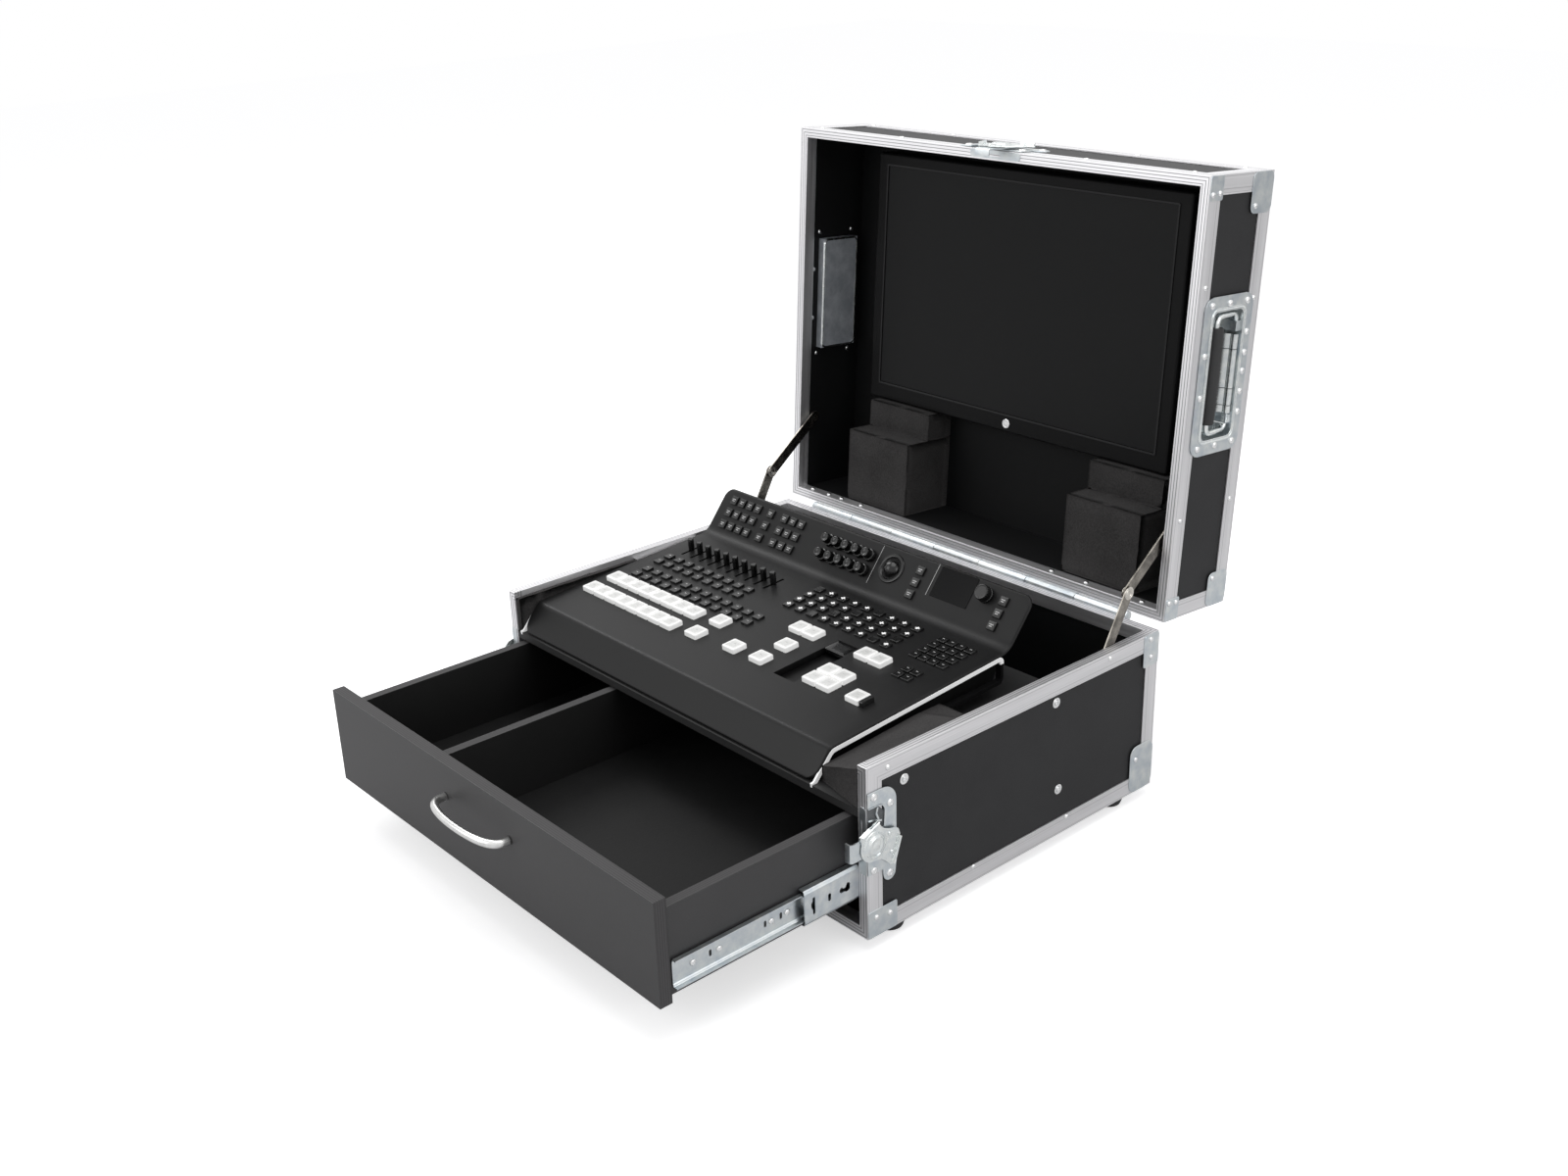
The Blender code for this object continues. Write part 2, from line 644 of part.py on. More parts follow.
def drawer():
    """A box drawer: its front, sides, back, bottom and divider are separate boards."""
    half = PANEL_IN - SLIDE_THICKNESS - CLEAR
    box("drawer_front", (-FRONT_WIDTH / 2, 0.0, FRONT_LOW), (FRONT_WIDTH / 2, FRONT_PLY, FRONT_HIGH),
        LAMINATE, DRAWER)
    front = FRONT_PLY + CLEAR
    rear = FRONT_PLY + DRAWER_LENGTH
    for side, name in ((-1, "left"), (1, "right")):
        x = sorted((side * half, side * (half - DRAWER_PLY)))
        box("drawer_side_" + name, (x[0], front, DRAWER_LOW), (x[1], rear, DRAWER_HIGH), LAMINATE, DRAWER)
    within = half - DRAWER_PLY - CLEAR
    box("drawer_back", (-within, rear - DRAWER_PLY, DRAWER_LOW), (within, rear, DRAWER_HIGH), LAMINATE, DRAWER)
    floor = DRAWER_LOW + DRAWER_BOTTOM_RISE
    back = rear - DRAWER_PLY - CLEAR
    box("drawer_bottom", (-within, front, floor), (within, back, floor + DRAWER_BOTTOM), PLYWOOD, DRAWER)
    box("drawer_divider", (DIVIDER_X - DRAWER_PLY / 2, front, floor + DRAWER_BOTTOM + CLEAR),
        (DIVIDER_X + DRAWER_PLY / 2, back, DRAWER_HIGH), LAMINATE, DRAWER)
    steps = 16
    points = []
    for i in range(steps + 1):
        angle = math.pi * i / steps
        x = -PULL_SPAN / 2 * math.cos(angle)
        y = -CLEAR - (PULL_REACH - PULL_RADIUS) * math.sin(angle) ** 0.6
        points.append((x, y, PULL_Z))
    ends = (points[0], points[-1])
    points[0] = (ends[0][0], -CLEAR - PULL_RADIUS, PULL_Z)
    points[-1] = (ends[1][0], -CLEAR - PULL_RADIUS, PULL_Z)
    points = [ends[0]] + points + [ends[1]]
    tube("drawer_pull", points, PULL_RADIUS, ALUMINIUM, DRAWER, 3)


def hinge():
    """A knuckled hinge along the back: the base leaf holds the pin, the lid leaf turns round it."""
    radius = HINGE_SET - CLEAR
    knuckle = radius - CLEAR / 3
    start = -HALF_WIDTH + HINGE_END_GAP
    segment = -2 * start / HINGE_KNUCKLES
    leaf = box("hinge_base_leaf", (start, HALF_DEPTH + CLEAR, BASE_HEIGHT - HINGE_LEAF),
               (-start, HALF_DEPTH + CLEAR + SKIN, BASE_HEIGHT - radius), ZINC, ROOT)
    axle = rod("hinge_pin_core", (start, HINGE_Y, BASE_HEIGHT), (-start, HINGE_Y, BASE_HEIGHT), HINGE_PIN)
    lid_leaf = box("hinge_lid_leaf", (start, -radius, RIM_SEAM + radius),
                   (-start, -radius + SKIN, RIM_SEAM + HINGE_LEAF), ZINC, LID)
    for i in range(HINGE_KNUCKLES):
        low = start + i * segment + KNUCKLE_RUN / 2
        high = low + segment - KNUCKLE_RUN
        if i % 2 == 0:
            join(leaf,
                 box("base_web_{}".format(i), (low, HALF_DEPTH + CLEAR, BASE_HEIGHT - 2 * radius),
                     (high, HALF_DEPTH + CLEAR + SKIN, BASE_HEIGHT - SKIN)),
                 rod("base_knuckle_{}".format(i), (low, HINGE_Y, BASE_HEIGHT), (high, HINGE_Y, BASE_HEIGHT),
                     knuckle, sides=16))
        else:
            join(lid_leaf,
                 box("lid_web_{}".format(i), (low, -radius, SKIN),
                     (high, -radius + SKIN, RIM_SEAM + 2 * radius)),
                 rod("lid_knuckle_{}".format(i), (low, 0, 0), (high, 0, 0), knuckle, sides=16))
    join(leaf, axle)
    cut(lid_leaf, rod("pin_bore", (start - LUG, 0, 0), (-start + LUG, 0, 0), HINGE_PIN + PIN_RUN, sides=20))


def lid_shell():
    """The lid is built closed in the frame of its axis; its empty turns it open."""
    far = HINGE_SET + LID_DEPTH
    w = HALF_WIDTH
    seam = RIM_SEAM
    inset = SKIN + CLEAR
    outer = rectangle(-w + inset, -far + inset, w - inset, -HINGE_SET - inset)
    deep = inset + PLY
    inner = rectangle(-w + deep, -far + deep, w - deep, -HINGE_SET - deep)
    top = seam + LID_HEIGHT - inset
    walls = slab("lid_walls", [outer, inner], seam + RIM_FACE + CLEAR, top - PLY - CLEAR, "XY", LAMINATE, LID)
    slab("lid_top_panel", [outer], top - PLY, top, "XY", LAMINATE, LID)
    middle = -HINGE_SET - DISH_FROM_HINGE
    height = seam + LID_HEIGHT / 2
    reach = (PAN_LENGTH / 2 + CLEAR, PAN_WIDTH / 2 + CLEAR)
    for side, name in ((-1, "left"), (1, "right")):
        x = sorted((side * (PANEL_IN - LUG), side * (HALF_WIDTH + LUG)))
        cut(walls, box("handle_hole_" + name, (x[0], middle - reach[0], height - reach[1]),
                       (x[1], middle + reach[0], height + reach[1])))
    left, right, back, up = Vector((-1, 0, 0)), Vector((1, 0, 0)), Vector((0, 1, 0)), Vector((0, 0, 1))
    near = -HINGE_SET
    ring = [(w, near), (-w, near), (-w, -far), (w, -far)]
    sides = [-back, right, back, left]
    mitred_section("lid_rim", [(x, y, seam) for x, y in ring], sides, [up] * 4, RIM_PROFILE, True, ALUMINIUM, LID)
    height = seam + LID_HEIGHT
    angles = mitred_section("lid_edge_angles", [(x, y, height) for x, y in ring], sides, [-up] * 4,
                            ANGLE_PROFILE, True, ALUMINIUM, LID)
    for i, (x, y) in enumerate(ring):
        inward = left if x > 0 else right
        across = -back if y > -far / 2 else back
        join(angles, mitred_section(
            "lid_corner_angle_{}".format(i), [(x, y, seam + LEG + CLEAR), (x, y, height - LEG + ANGLE_LAP)],
            [inward], [across], STEPPED_ANGLE, False))


def lid_handles():
    """Recessed handle dishes with a wire bail and a rubber grip that folds flat."""
    middle = -HINGE_SET - DISH_FROM_HINGE
    height = RIM_SEAM + LID_HEIGHT / 2
    face = HALF_WIDTH + CLEAR + SKIN
    floor = face - PAN_DEPTH
    pivot_z = height + BAIL_UP
    pivot_x = face - BAIL_FROM_FACE
    for side, name in ((1, "right"), (-1, "left")):
        def span(a, b):
            return sorted((side * a, side * b))

        x = span(face - SKIN, face)
        plate = slab("lid_handle_dish_" + name,
                     [rounded_rectangle((middle, height), DISH_LENGTH, DISH_WIDTH, DISH_CORNER)],
                     x[0], x[1], "YZ", ZINC, LID)
        x = span(floor, face - SKIN / 2)
        pan = box("pan_" + name, (x[0], middle - PAN_LENGTH / 2, height - PAN_WIDTH / 2),
                  (x[1], middle + PAN_LENGTH / 2, height + PAN_WIDTH / 2))
        x = span(floor + SKIN, face + SKIN)
        inside = (PAN_LENGTH / 2 - SKIN, PAN_WIDTH / 2 - SKIN)
        hollow = box("pan_hollow_" + name, (x[0], middle - inside[0], height - inside[1]),
                     (x[1], middle + inside[0], height + inside[1]))
        join(plate, pan)
        cut(plate, hollow)
        for end in (-1, 1):
            near = middle + end * (BAIL_SPAN / 2 - BAIL_STUB)
            far = near + end * LUG
            y = sorted((near, far))
            x = span(floor + SKIN / 2, pivot_x + BAIL_WIRE + SKIN)
            join(plate, box("bail_lug_{}{}".format(name, end), (x[0], y[0], pivot_z - BAIL_WIRE - SKIN),
                            (x[1], y[1], pivot_z + BAIL_WIRE + SKIN)))
        cut(plate, rod("bail_bore_" + name, (side * pivot_x, middle - BAIL_SPAN / 2, pivot_z),
                       (side * pivot_x, middle + BAIL_SPAN / 2, pivot_z), BAIL_WIRE + LUG_RUN, sides=16))
        axis = empty("bail_axis_" + name, (side * pivot_x, middle, pivot_z), LID)
        half = BAIL_SPAN / 2
        stub = half - BAIL_STUB + CLEAR
        proud = side * GRIP_PROUD
        corners = [(0, -stub, 0), (0, -half, 0), (proud, -half, -BAIL_LEG), (proud, half, -BAIL_LEG),
                   (0, half, 0), (0, stub, 0)]
        bail = tube("lid_handle_bail_" + name, rounded_path(corners, 2 * BAIL_WIRE), BAIL_WIRE, ZINC, axis, 2)
        join(bail, rod("grip_" + name, (proud, -GRIP_LENGTH / 2, -BAIL_LEG),
                       (proud, GRIP_LENGTH / 2, -BAIL_LEG), GRIP_RADIUS, sides=16))


def monitor_and_foam():
    """The monitor fixed in the lid and the stepped foam blocks below it."""
    ceiling = RIM_SEAM + LID_HEIGHT - SKIN - CLEAR - PLY
    back = ceiling - CLEAR
    near = -HINGE_SET - MONITOR_FROM_HINGE
    half = MONITOR_WIDTH / 2
    monitor = box("monitor_housing", (-half, near - MONITOR_LENGTH, back - MONITOR_THICKNESS),
                  (half, near, back), BEZEL, LID, 0.003)
    screen = -HINGE_SET - SCREEN_FROM_HINGE
    face = back - MONITOR_THICKNESS
    cut(monitor, box("screen_recess", (-SCREEN_WIDTH / 2, screen - SCREEN_LENGTH, face - SCREEN_RECESS),
                     (SCREEN_WIDTH / 2, screen, face + SCREEN_RECESS)))
    wall = -HINGE_SET - SKIN - CLEAR - PLY - CLEAR
    step = near + LID_FOAM_SHELF
    outline = [(wall, LID_FOAM_LOW), (wall, back), (near + CLEAR, back), (near + CLEAR, LID_FOAM_STEP),
               (step, LID_FOAM_STEP), (step, LID_FOAM_LOW)]
    for side, gap, name in zip((-1, 1), LID_FOAM_GAPS, ("left", "right")):
        x = sorted((side * (PANEL_IN - gap), side * (PANEL_IN - gap - LID_FOAM_WIDTH)))
        slab("lid_foam_" + name, [outline], x[0], x[1], "YZ", FOAM, LID)


def arm(name, length, low, high, boss_low, boss_high, parent):
    """A flat bar along +Y with round ends and a boss round its pivot."""
    half = STAY_WIDTH / 2
    points = []
    for end, first in ((0.0, math.pi / 2), (length, -math.pi / 2)):
        for i in range(7):
            angle = first + math.pi * i / 6
            points.append((end + half * math.cos(angle), half * math.sin(angle)))
    bar = slab(name, [points], low, high, "YZ", NICKEL, parent)
    join(bar, rod(name + "_boss", (boss_low, 0, 0), (boss_high, 0, 0), STAY_BOSS, sides=16))


def stays():
    """Two-bar folding stays: the lower arm turns on the base and the upper one on the lid."""
    lid_y = -HINGE_SET - STAY_LID_FROM_HINGE
    lid_z = RIM_SEAM + STAY_LID_Z
    turn = Matrix.Rotation(-LID_OPEN, 2)
    hung = turn @ Vector((lid_y, lid_z)) + Vector((HINGE_Y, BASE_HEIGHT))
    foot = Vector((HINGE_Y - STAY_BASE_FROM_HINGE, BASE_HEIGHT - STAY_BASE_DROP))
    line = hung - foot
    unit = line.normalized()
    elbow = foot + line * STAY_ELBOW_SHARE + Vector((-unit.y, unit.x)) * STAY_ELBOW_OFF
    lower_angle = math.atan2(elbow.y - foot.y, elbow.x - foot.x)
    upper_angle = math.atan2(elbow.y - hung.y, elbow.x - hung.x) + LID_OPEN
    outer = HALF_WIDTH - RIM_WIDTH - SKIN / 3
    wall = PANEL_IN - CLEAR
    for side, name in ((1, "right"), (-1, "left")):
        lower = sorted((side * outer, side * (outer - STAY_SHEET)))
        inner = outer - STAY_SHEET - SKIN / 3
        upper = sorted((side * inner, side * (inner - STAY_SHEET)))
        overlap = STAY_SHEET / 2
        axis = empty("stay_base_axis_" + name, (0, foot.x, foot.y), ROOT, (lower_angle, 0, 0))
        arm("stay_lower_" + name, (elbow - foot).length, lower[0], lower[1], side * (outer - overlap), side * wall, axis)
        axis = empty("stay_lid_axis_" + name, (0, lid_y, lid_z), LID, (upper_angle, 0, 0))
        arm("stay_upper_" + name, (elbow - hung).length, upper[0], upper[1], side * (inner - overlap), side * wall, axis)


def latch(name, to_case, hook_parent, parent):
    """A butterfly latch in its own frame: u to the edge it pulls, v along the edge, w out of the wall.

    to_case turns that frame into the parent's. The plate ends at u = 0, the hook reaches past it, and the
    wing turns on an axle that passes through a slot in the hook.
    """
    def place(made):
        made.data.transform(to_case)
        return made

    def arc(centre, radius, start, end, steps):
        return [(centre[0] + radius * math.cos(math.radians(start + (end - start) * i / steps)),
                 centre[1] + radius * math.sin(math.radians(start + (end - start) * i / steps)))
                for i in range(steps + 1)]

    top, bottom, back = LATCH_TOP, LATCH_BOTTOM, -LATCH_DEPTH
    outline = [(0.0, WINDOW_BOTTOM), (0.0, bottom), (LATCH_NECK, bottom)]
    outline += arc(LATCH_EAR, LATCH_EAR_RADIUS, 0, 180, 10)
    outline += [(back, bottom - 0.004)]
    outline += arc((back + LATCH_ROUND, top + LATCH_ROUND), LATCH_ROUND, 180, 270, 6)
    outline += [(0.0, top), (0.0, WINDOW_TOP)]
    outline += arc((WINDOW_BACK + 0.010, WINDOW_TOP + 0.010), 0.010, 270, 180, 5)
    outline += [(WINDOW_BACK + 0.0012, WINDOW_BOTTOM)]
    base = CLEAR
    place(slab(name + "_plate", [outline], base, base + LATCH_PLATE, "XY", ZINC, parent))
    low = base + LATCH_PLATE + CLEAR
    hook_half = HOOK_WIDTH / 2
    slot = WING_AXLE + 2 * CLEAR
    axle = -WING_AXLE_BACK
    body = rectangle(-HOOK_BACK, -hook_half, HOOK_OUT, hook_half)
    opening = rectangle(axle - slot, -slot, axle + slot + HOOK_TRAVEL, slot)
    hook = place(slab(name + "_hook", [body, opening], low, low + HOOK_SHEET, "XY", ZINC, hook_parent))
    join(hook, place(box(name + "_lip", (HOOK_OUT - HOOK_SHEET, -hook_half + CLEAR, low - HOOK_LIP),
                         (HOOK_OUT - CLEAR, hook_half - CLEAR, low + HOOK_SHEET / 2))))
    rise = low + HOOK_SHEET + CLEAR
    disc = arc((axle, 0.0), WING_DISC, 65, -20, 10)
    lobes = disc + [WING_UPPER[0], WING_UPPER[1], (-0.0170, -0.0150), (-0.0375, -0.0085), WING_LOWER[0],
                    WING_LOWER[1], (-0.0270, 0.0330), (-0.0150, 0.0205)]
    wing = place(slab(name + "_wing", [lobes], rise, rise + WING_SHEET, "XY", ZINC, parent))
    for number, (first, last) in enumerate((WING_UPPER, WING_LOWER)):
        run = Vector((last[0] - first[0], last[1] - first[1])).normalized()
        inward = Vector((run.y, -run.x))
        if inward.dot(Vector((axle, 0.0)) - Vector(first)) < 0:
            inward = -inward
        a, b = Vector(first) + (run + inward) * 0.0003, Vector(last) + (inward - run) * 0.0003
        fold = [a, b, b + inward * WING_SHEET, a + inward * WING_SHEET]
        join(wing, place(slab(name + "_fold_{}".format(number), [fold], rise + CLEAR, rise + WING_FOLD, "XY")))
    join(wing, place(rod(name + "_head", (axle, 0, rise + CLEAR), (axle, 0, rise + WING_SHEET + WING_HEAD_RISE),
                         WING_HEAD, sides=24)))
    join(wing, place(rod(name + "_axle", (axle, 0, low), (axle, 0, rise + WING_SHEET / 2), WING_AXLE, sides=16)))


def latches():
    """One latch on each side wall pulls the front cover, and one on the lid pulls down onto it."""
    x = HALF_WIDTH
    right = Matrix(((0, 0, 1, x), (-1, 0, 0, -HALF_DEPTH), (0, -1, 0, LATCH_Z), (0, 0, 0, 1)))
    left = Matrix(((0, 0, -1, -x), (-1, 0, 0, -HALF_DEPTH), (0, 1, 0, LATCH_Z), (0, 0, 0, 1)))
    far = -HINGE_SET - LID_DEPTH
    top = Matrix(((0, 1, 0, LID_LATCH_X), (0, 0, -1, far), (-1, 0, 0, RIM_SEAM), (0, 0, 0, 1)))
    latch("base_latch_right", right, ROOT, ROOT)
    latch("base_latch_left", left, ROOT, ROOT)
    latch("lid_latch", top, LID, LID)


DECK = Vector((DECK_END_Y - CREASE_Y, DECK_END_Z - CREASE_Z))
PANEL = Vector((PANEL_END_Y - DECK_END_Y, PANEL_END_Z - DECK_END_Z))


def surface(origin, line):
    """Frame of a sloping face: x from the middle of the console, y up its line and z out of it."""
    unit = line.normalized()
    return Matrix(((1, 0, 0, CONSOLE_X), (0, unit.x, -unit.y, origin[0]), (0, unit.y, unit.x, origin[1]),
                   (0, 0, 0, 1)))


DECK_FRAME = surface((CREASE_Y, CREASE_Z), DECK)
PANEL_FRAME = surface((DECK_END_Y, DECK_END_Z), PANEL)


def grid(columns, rows, at, pitch):
    """Key centres: columns across the console and rows up its face."""
    return [(at[0] + pitch[0] * i, at[1] + pitch[1] * k) for i in range(columns) for k in range(rows)]


def around(centres, size, edge=None):
    """Low and high corners of the carrier area that a field of keys needs."""
    reach = size / 2 + (CARRIER_EDGE if edge is None else edge)
    xs, ys = [x for x, _ in centres], [y for _, y in centres]
    return min(xs) - reach, min(ys) - reach, max(xs) + reach, max(ys) + reach


MACRO_KEYS = grid(12, 2, MACRO_AT, MACRO_PITCH)
TALLY_KEYS = grid(9, 2, TALLY_AT, MACRO_PITCH)
BUS_KEYS = grid(8, 2, BUS_AT, (KEY_PITCH, BUS_ROWS)) + list(CUT_AT) + grid(2, 1, AUTO_AT, (KEY_PITCH, 0.0))
SHORTCUT_KEYS = grid(2, 2, SHORTCUT_AT, SHORTCUT_PITCH)
EFFECT_KEYS = grid(2, 2, QUAD_AT, (KEY_PITCH, KEY_PITCH)) + [FADE_AT] + grid(2, 1, PAIR_AT, (KEY_PITCH, 0.0))
SOURCE_KEYS = grid(9, 4, SOURCE_AT, SOURCE_PITCH) + grid(4, 4, NUMBER_AT, NUMBER_PITCH)
PANEL_LEFT = grid(4, 3, PANEL_LEFT_AT, PANEL_PITCH) + grid(1, 3, PANEL_SINGLE_AT, PANEL_PITCH)
PANEL_LEFT += grid(3, 3, PANEL_MIDDLE_AT, PANEL_PITCH)
PANEL_MENUS = [grid(1, 3, at, (0.0, PANEL_MENU_PITCH)) for at in PANEL_MENU_AT]
KNOB_CLUSTER = grid(5, 2, CLUSTER_AT, CLUSTER_PITCH)
FADERS = grid(10, 1, FADER_AT, (FADER_PITCH, 0.0))


def left_carrier():
    """Outline under the bus, macro and tally keys, stepped past the end of the tally rows."""
    x0, y0, x1, y1 = around(BUS_KEYS, KEY_SIZE)
    low_x, _, step, top = around(TALLY_KEYS, SMALL_KEY)
    x0 = min(x0, low_x)
    return [(x0, y0), (x1, y0), (x1, y1), (step, y1), (step, top), (x0, top)]


def panel_carrier():
    """Outline under the keys of the raised panel: a band below them all and three arms up from it."""
    x0, y0, x1, y1 = around(PANEL_LEFT, SMALL_KEY)
    low = y0 - CARRIER_BAND / 3
    high = low + CARRIER_BAND
    left, right = [around(keys, SMALL_KEY) for keys in PANEL_MENUS]
    outline = [(x0, y1), (x0, low), (right[2], low), (right[2], right[3]), (right[0], right[3]), (right[0], high)]
    outline += [(left[2], high), (left[2], left[3]), (left[0], left[3]), (left[0], high)]
    return outline + [(x1, high), (x1, y1)]


def blocks(name, centres, size, low, high, material=None, parent=None):
    """Square blocks standing on a face, as one mesh."""
    shape = bmesh.new()
    for x, y in centres:
        made = bmesh.ops.create_cube(shape, size=1.0)["verts"]
        bmesh.ops.scale(shape, vec=(size, size, high - low), verts=made)
        bmesh.ops.translate(shape, vec=(x, y, (high + low) / 2), verts=made)
    return add(name, settle(shape, name), material, parent)


def posts(name, centres, radius, low, high, sides):
    """Round posts standing on a face, as one mesh."""
    shape = bmesh.new()
    for x, y in centres:
        made = bmesh.ops.create_cone(shape, cap_ends=True, segments=sides, radius1=radius, radius2=radius,
                                     depth=high - low)["verts"]
        bmesh.ops.translate(shape, vec=(x, y, (high + low) / 2), verts=made)
    return add(name, settle(shape, name), None, None)


def on_face(made, frame):
    made.data.transform(frame)
    return made


def key_bank(name, outline, fields, frame, material, body):
    """Keys that rise through holes of the console from one carrier under its top sheet."""
    top = -CONSOLE_WALL - CLEAR
    bank = on_face(slab(name, [outline], top - CARRIER, top, "XY", material, ROOT), frame)
    for k, (centres, size, rise) in enumerate(fields):
        tag = "{}_{}".format(name, k)
        join(bank, on_face(blocks(tag, centres, size, top - CARRIER / 2, rise), frame))
        hole = size + 2 * KEY_RUN
        cut(body, on_face(blocks(tag + "_holes", centres, hole, -2 * CONSOLE_WALL, 2 * CONSOLE_WALL), frame))


def offset_line(points, distance):
    """A polyline moved to its right by a distance, mitred at its corners."""
    points = [Vector(point) for point in points]
    moved = []
    for i, point in enumerate(points):
        before = (point - points[max(i - 1, 0)]).normalized() if i else (points[1] - point).normalized()
        after = (points[i + 1] - point).normalized() if i + 1 < len(points) else before
        side = Vector((before.y + after.y, -before.x - after.x)).normalized()
        moved.append(point + side * (distance / side.dot(Vector((after.y, -after.x)))))
    return moved


def down_to(line, height):
    """The line with its first point slid along its first run to a height."""
    run = line[1] - line[0]
    return [line[0] + run * ((height - line[0].y) / run.y)] + line[1:]


def console():
    """The control console: a hollow folded housing, open underneath, and the controls in it."""
    foot = SHELF_TOP + CLEAR
    half = CONSOLE_WIDTH / 2
    top = [Vector((NOSE_Y, foot + NOSE_HEIGHT)), Vector((CREASE_Y, CREASE_Z)),
           Vector((DECK_END_Y, DECK_END_Z)), Vector((PANEL_END_Y, PANEL_END_Z))]
    wall, sheet = CONSOLE_WALL, CONSOLE_SHEET
    under = down_to(offset_line(top, sheet), foot)
    body = slab("console_body", [[(NOSE_Y, foot)] + top + under[::-1]], CONSOLE_X - half, CONSOLE_X + half,
                "YZ", PLASTIC, ROOT)
    inner = half - BELLY_INSET
    middle = down_to(offset_line(top, sheet / 2), foot + sheet)
    back = [(PANEL_END_Y, PANEL_END_Z - sheet), (PANEL_END_Y - sheet / 2, DECK_END_Z + sheet / 2),
            (DECK_END_Y + sheet / 2, DECK_END_Z - 2 * sheet)]
    low = [(DECK_END_Y - sheet / 2, foot), (NOSE_Y + 1.6 * sheet, foot)]
    middle[-1] = middle[-1] - (middle[-1] - middle[-2]).normalized() * sheet / 3
    join(body, slab("console_belly", [middle[1:] + back + low], CONSOLE_X - inner, CONSOLE_X + inner, "YZ"))
    ceiling = down_to(offset_line(top, wall), foot + wall)
    floor = down_to(offset_line(top, sheet - wall), foot + wall)
    shorten = (ceiling[-1] - ceiling[-2]).normalized() * CONSOLE_EDGE * 0.8
    ceiling[-1] = ceiling[-1] - shorten
    floor[-1] = floor[-1] - shorten
    edge = half - CONSOLE_EDGE
    plate_room = slab("plate_room", [ceiling + floor[::-1]], CONSOLE_X - edge, CONSOLE_X + edge, "YZ")
    roof = offset_line(top, sheet / 2 + wall)
    roof = [roof[1] + (roof[0] - roof[1]) * 0.5] + roof[1:]
    roof[-1] = roof[-1] - (roof[-1] - roof[-2]).normalized() * sheet
    room = roof + [(PANEL_END_Y - sheet / 2 - wall, DECK_END_Z + sheet / 2),
                   (DECK_END_Y + sheet / 2 - wall, DECK_END_Z - 2 * sheet),
                   (DECK_END_Y - sheet / 2 - wall, foot - wall), (NOSE_Y + 1.6 * sheet + wall, foot - wall)]
    belly_room = slab("belly_room", [room], CONSOLE_X - inner + wall, CONSOLE_X + inner - wall, "YZ")
    run = (top[2] - top[1]).normalized()
    lift = Vector((-run.y, run.x))

    def along(distance, depth):
        return top[2] - run * distance - lift * depth

    loop = [along(0.122, sheet / 2), (DECK_END_Y - 0.100, foot), (DECK_END_Y - 0.012, foot + 0.008),
            (DECK_END_Y - 0.004, foot + 0.016), along(0.002, sheet / 2)]
    bar = LOOP_BAR
    hole = [along(0.106, sheet + bar / 2), (DECK_END_Y - 0.094, foot + bar), (DECK_END_Y - 0.014, foot + bar + 0.008),
            (DECK_END_Y - 0.004 - bar, foot + bar + 0.014), along(0.011, sheet + bar / 2)]
    for side in (-1, 1):
        x = sorted((CONSOLE_X + side * (half - CLEAR), CONSOLE_X + side * (half - LOOP_THICKNESS)))
        join(body, slab("console_loop_{}".format(side), [loop, hole], x[0], x[1], "YZ"))
    length = PANEL.length
    for side in (-1, 1):
        turn = half - CONSOLE_CORNER
        corner = [(side * (half + wall), length + wall), (side * turn, length + wall)]
        for i in range(7):
            angle = math.pi / 2 * (1 - i / 6)
            corner.append((side * (turn + CONSOLE_CORNER * math.cos(angle)),
                           length - CONSOLE_CORNER + CONSOLE_CORNER * math.sin(angle)))
        corner.append((side * (half + wall), length - CONSOLE_CORNER))
        cut(body, on_face(slab("panel_corner_{}".format(side), [corner], -2 * sheet, sheet, "XY"), PANEL_FRAME))
    cut(body, plate_room, belly_room)

    key_bank("console_bus_keys", left_carrier(),
             [(BUS_KEYS, KEY_SIZE, KEY_RISE), (MACRO_KEYS + TALLY_KEYS, SMALL_KEY, SMALL_RISE)],
             DECK_FRAME, CLEAR_KEY, body)
    key_bank("console_effect_keys", rectangle(*around(EFFECT_KEYS + SHORTCUT_KEYS, KEY_SIZE, 2 * CLEAR)),
             [(EFFECT_KEYS, KEY_SIZE, KEY_RISE), (SHORTCUT_KEYS, SMALL_KEY, SMALL_RISE)], DECK_FRAME, CLEAR_KEY, body)
    key_bank("console_source_keys", rectangle(*around(SOURCE_KEYS, SMALL_KEY)),
             [(SOURCE_KEYS, SMALL_KEY, SMALL_RISE)], DECK_FRAME, DARK_KEY, body)
    key_bank("console_panel_keys", panel_carrier(),
             [(PANEL_LEFT + PANEL_MENUS[0] + PANEL_MENUS[1], SMALL_KEY, SMALL_RISE)], PANEL_FRAME, DARK_KEY, body)

    shelf = -wall - CLEAR
    carriage = on_face(box("console_faders", (FADERS[0][0] - 2 * FADER_RADIUS, FADER_AT[1] - FADER_RADIUS, shelf - CARRIER),
                           (FADERS[-1][0] + 2 * FADER_RADIUS, FADER_AT[1] + FADER_RADIUS, shelf), DARK_KEY, ROOT),
                       DECK_FRAME)
    join(carriage, on_face(posts("fader_stems", FADERS, FADER_STEM, shelf - CARRIER / 2, 2 * CLEAR, 8), DECK_FRAME),
         on_face(posts("fader_caps", FADERS, FADER_RADIUS, CLEAR, FADER_HEIGHT, 12), DECK_FRAME))
    slots = bmesh.new()
    for x, _ in FADERS:
        made = bmesh.ops.create_cube(slots, size=1.0)["verts"]
        width = 2 * (FADER_STEM + CLEAR)
        bmesh.ops.scale(slots, vec=(width, FADER_SLOT, 4 * wall), verts=made)
        bmesh.ops.translate(slots, vec=(x, FADER_AT[1], 0.0), verts=made)
    cut(body, on_face(add("fader_slots", settle(slots, "fader_slots"), None, ROOT), DECK_FRAME))

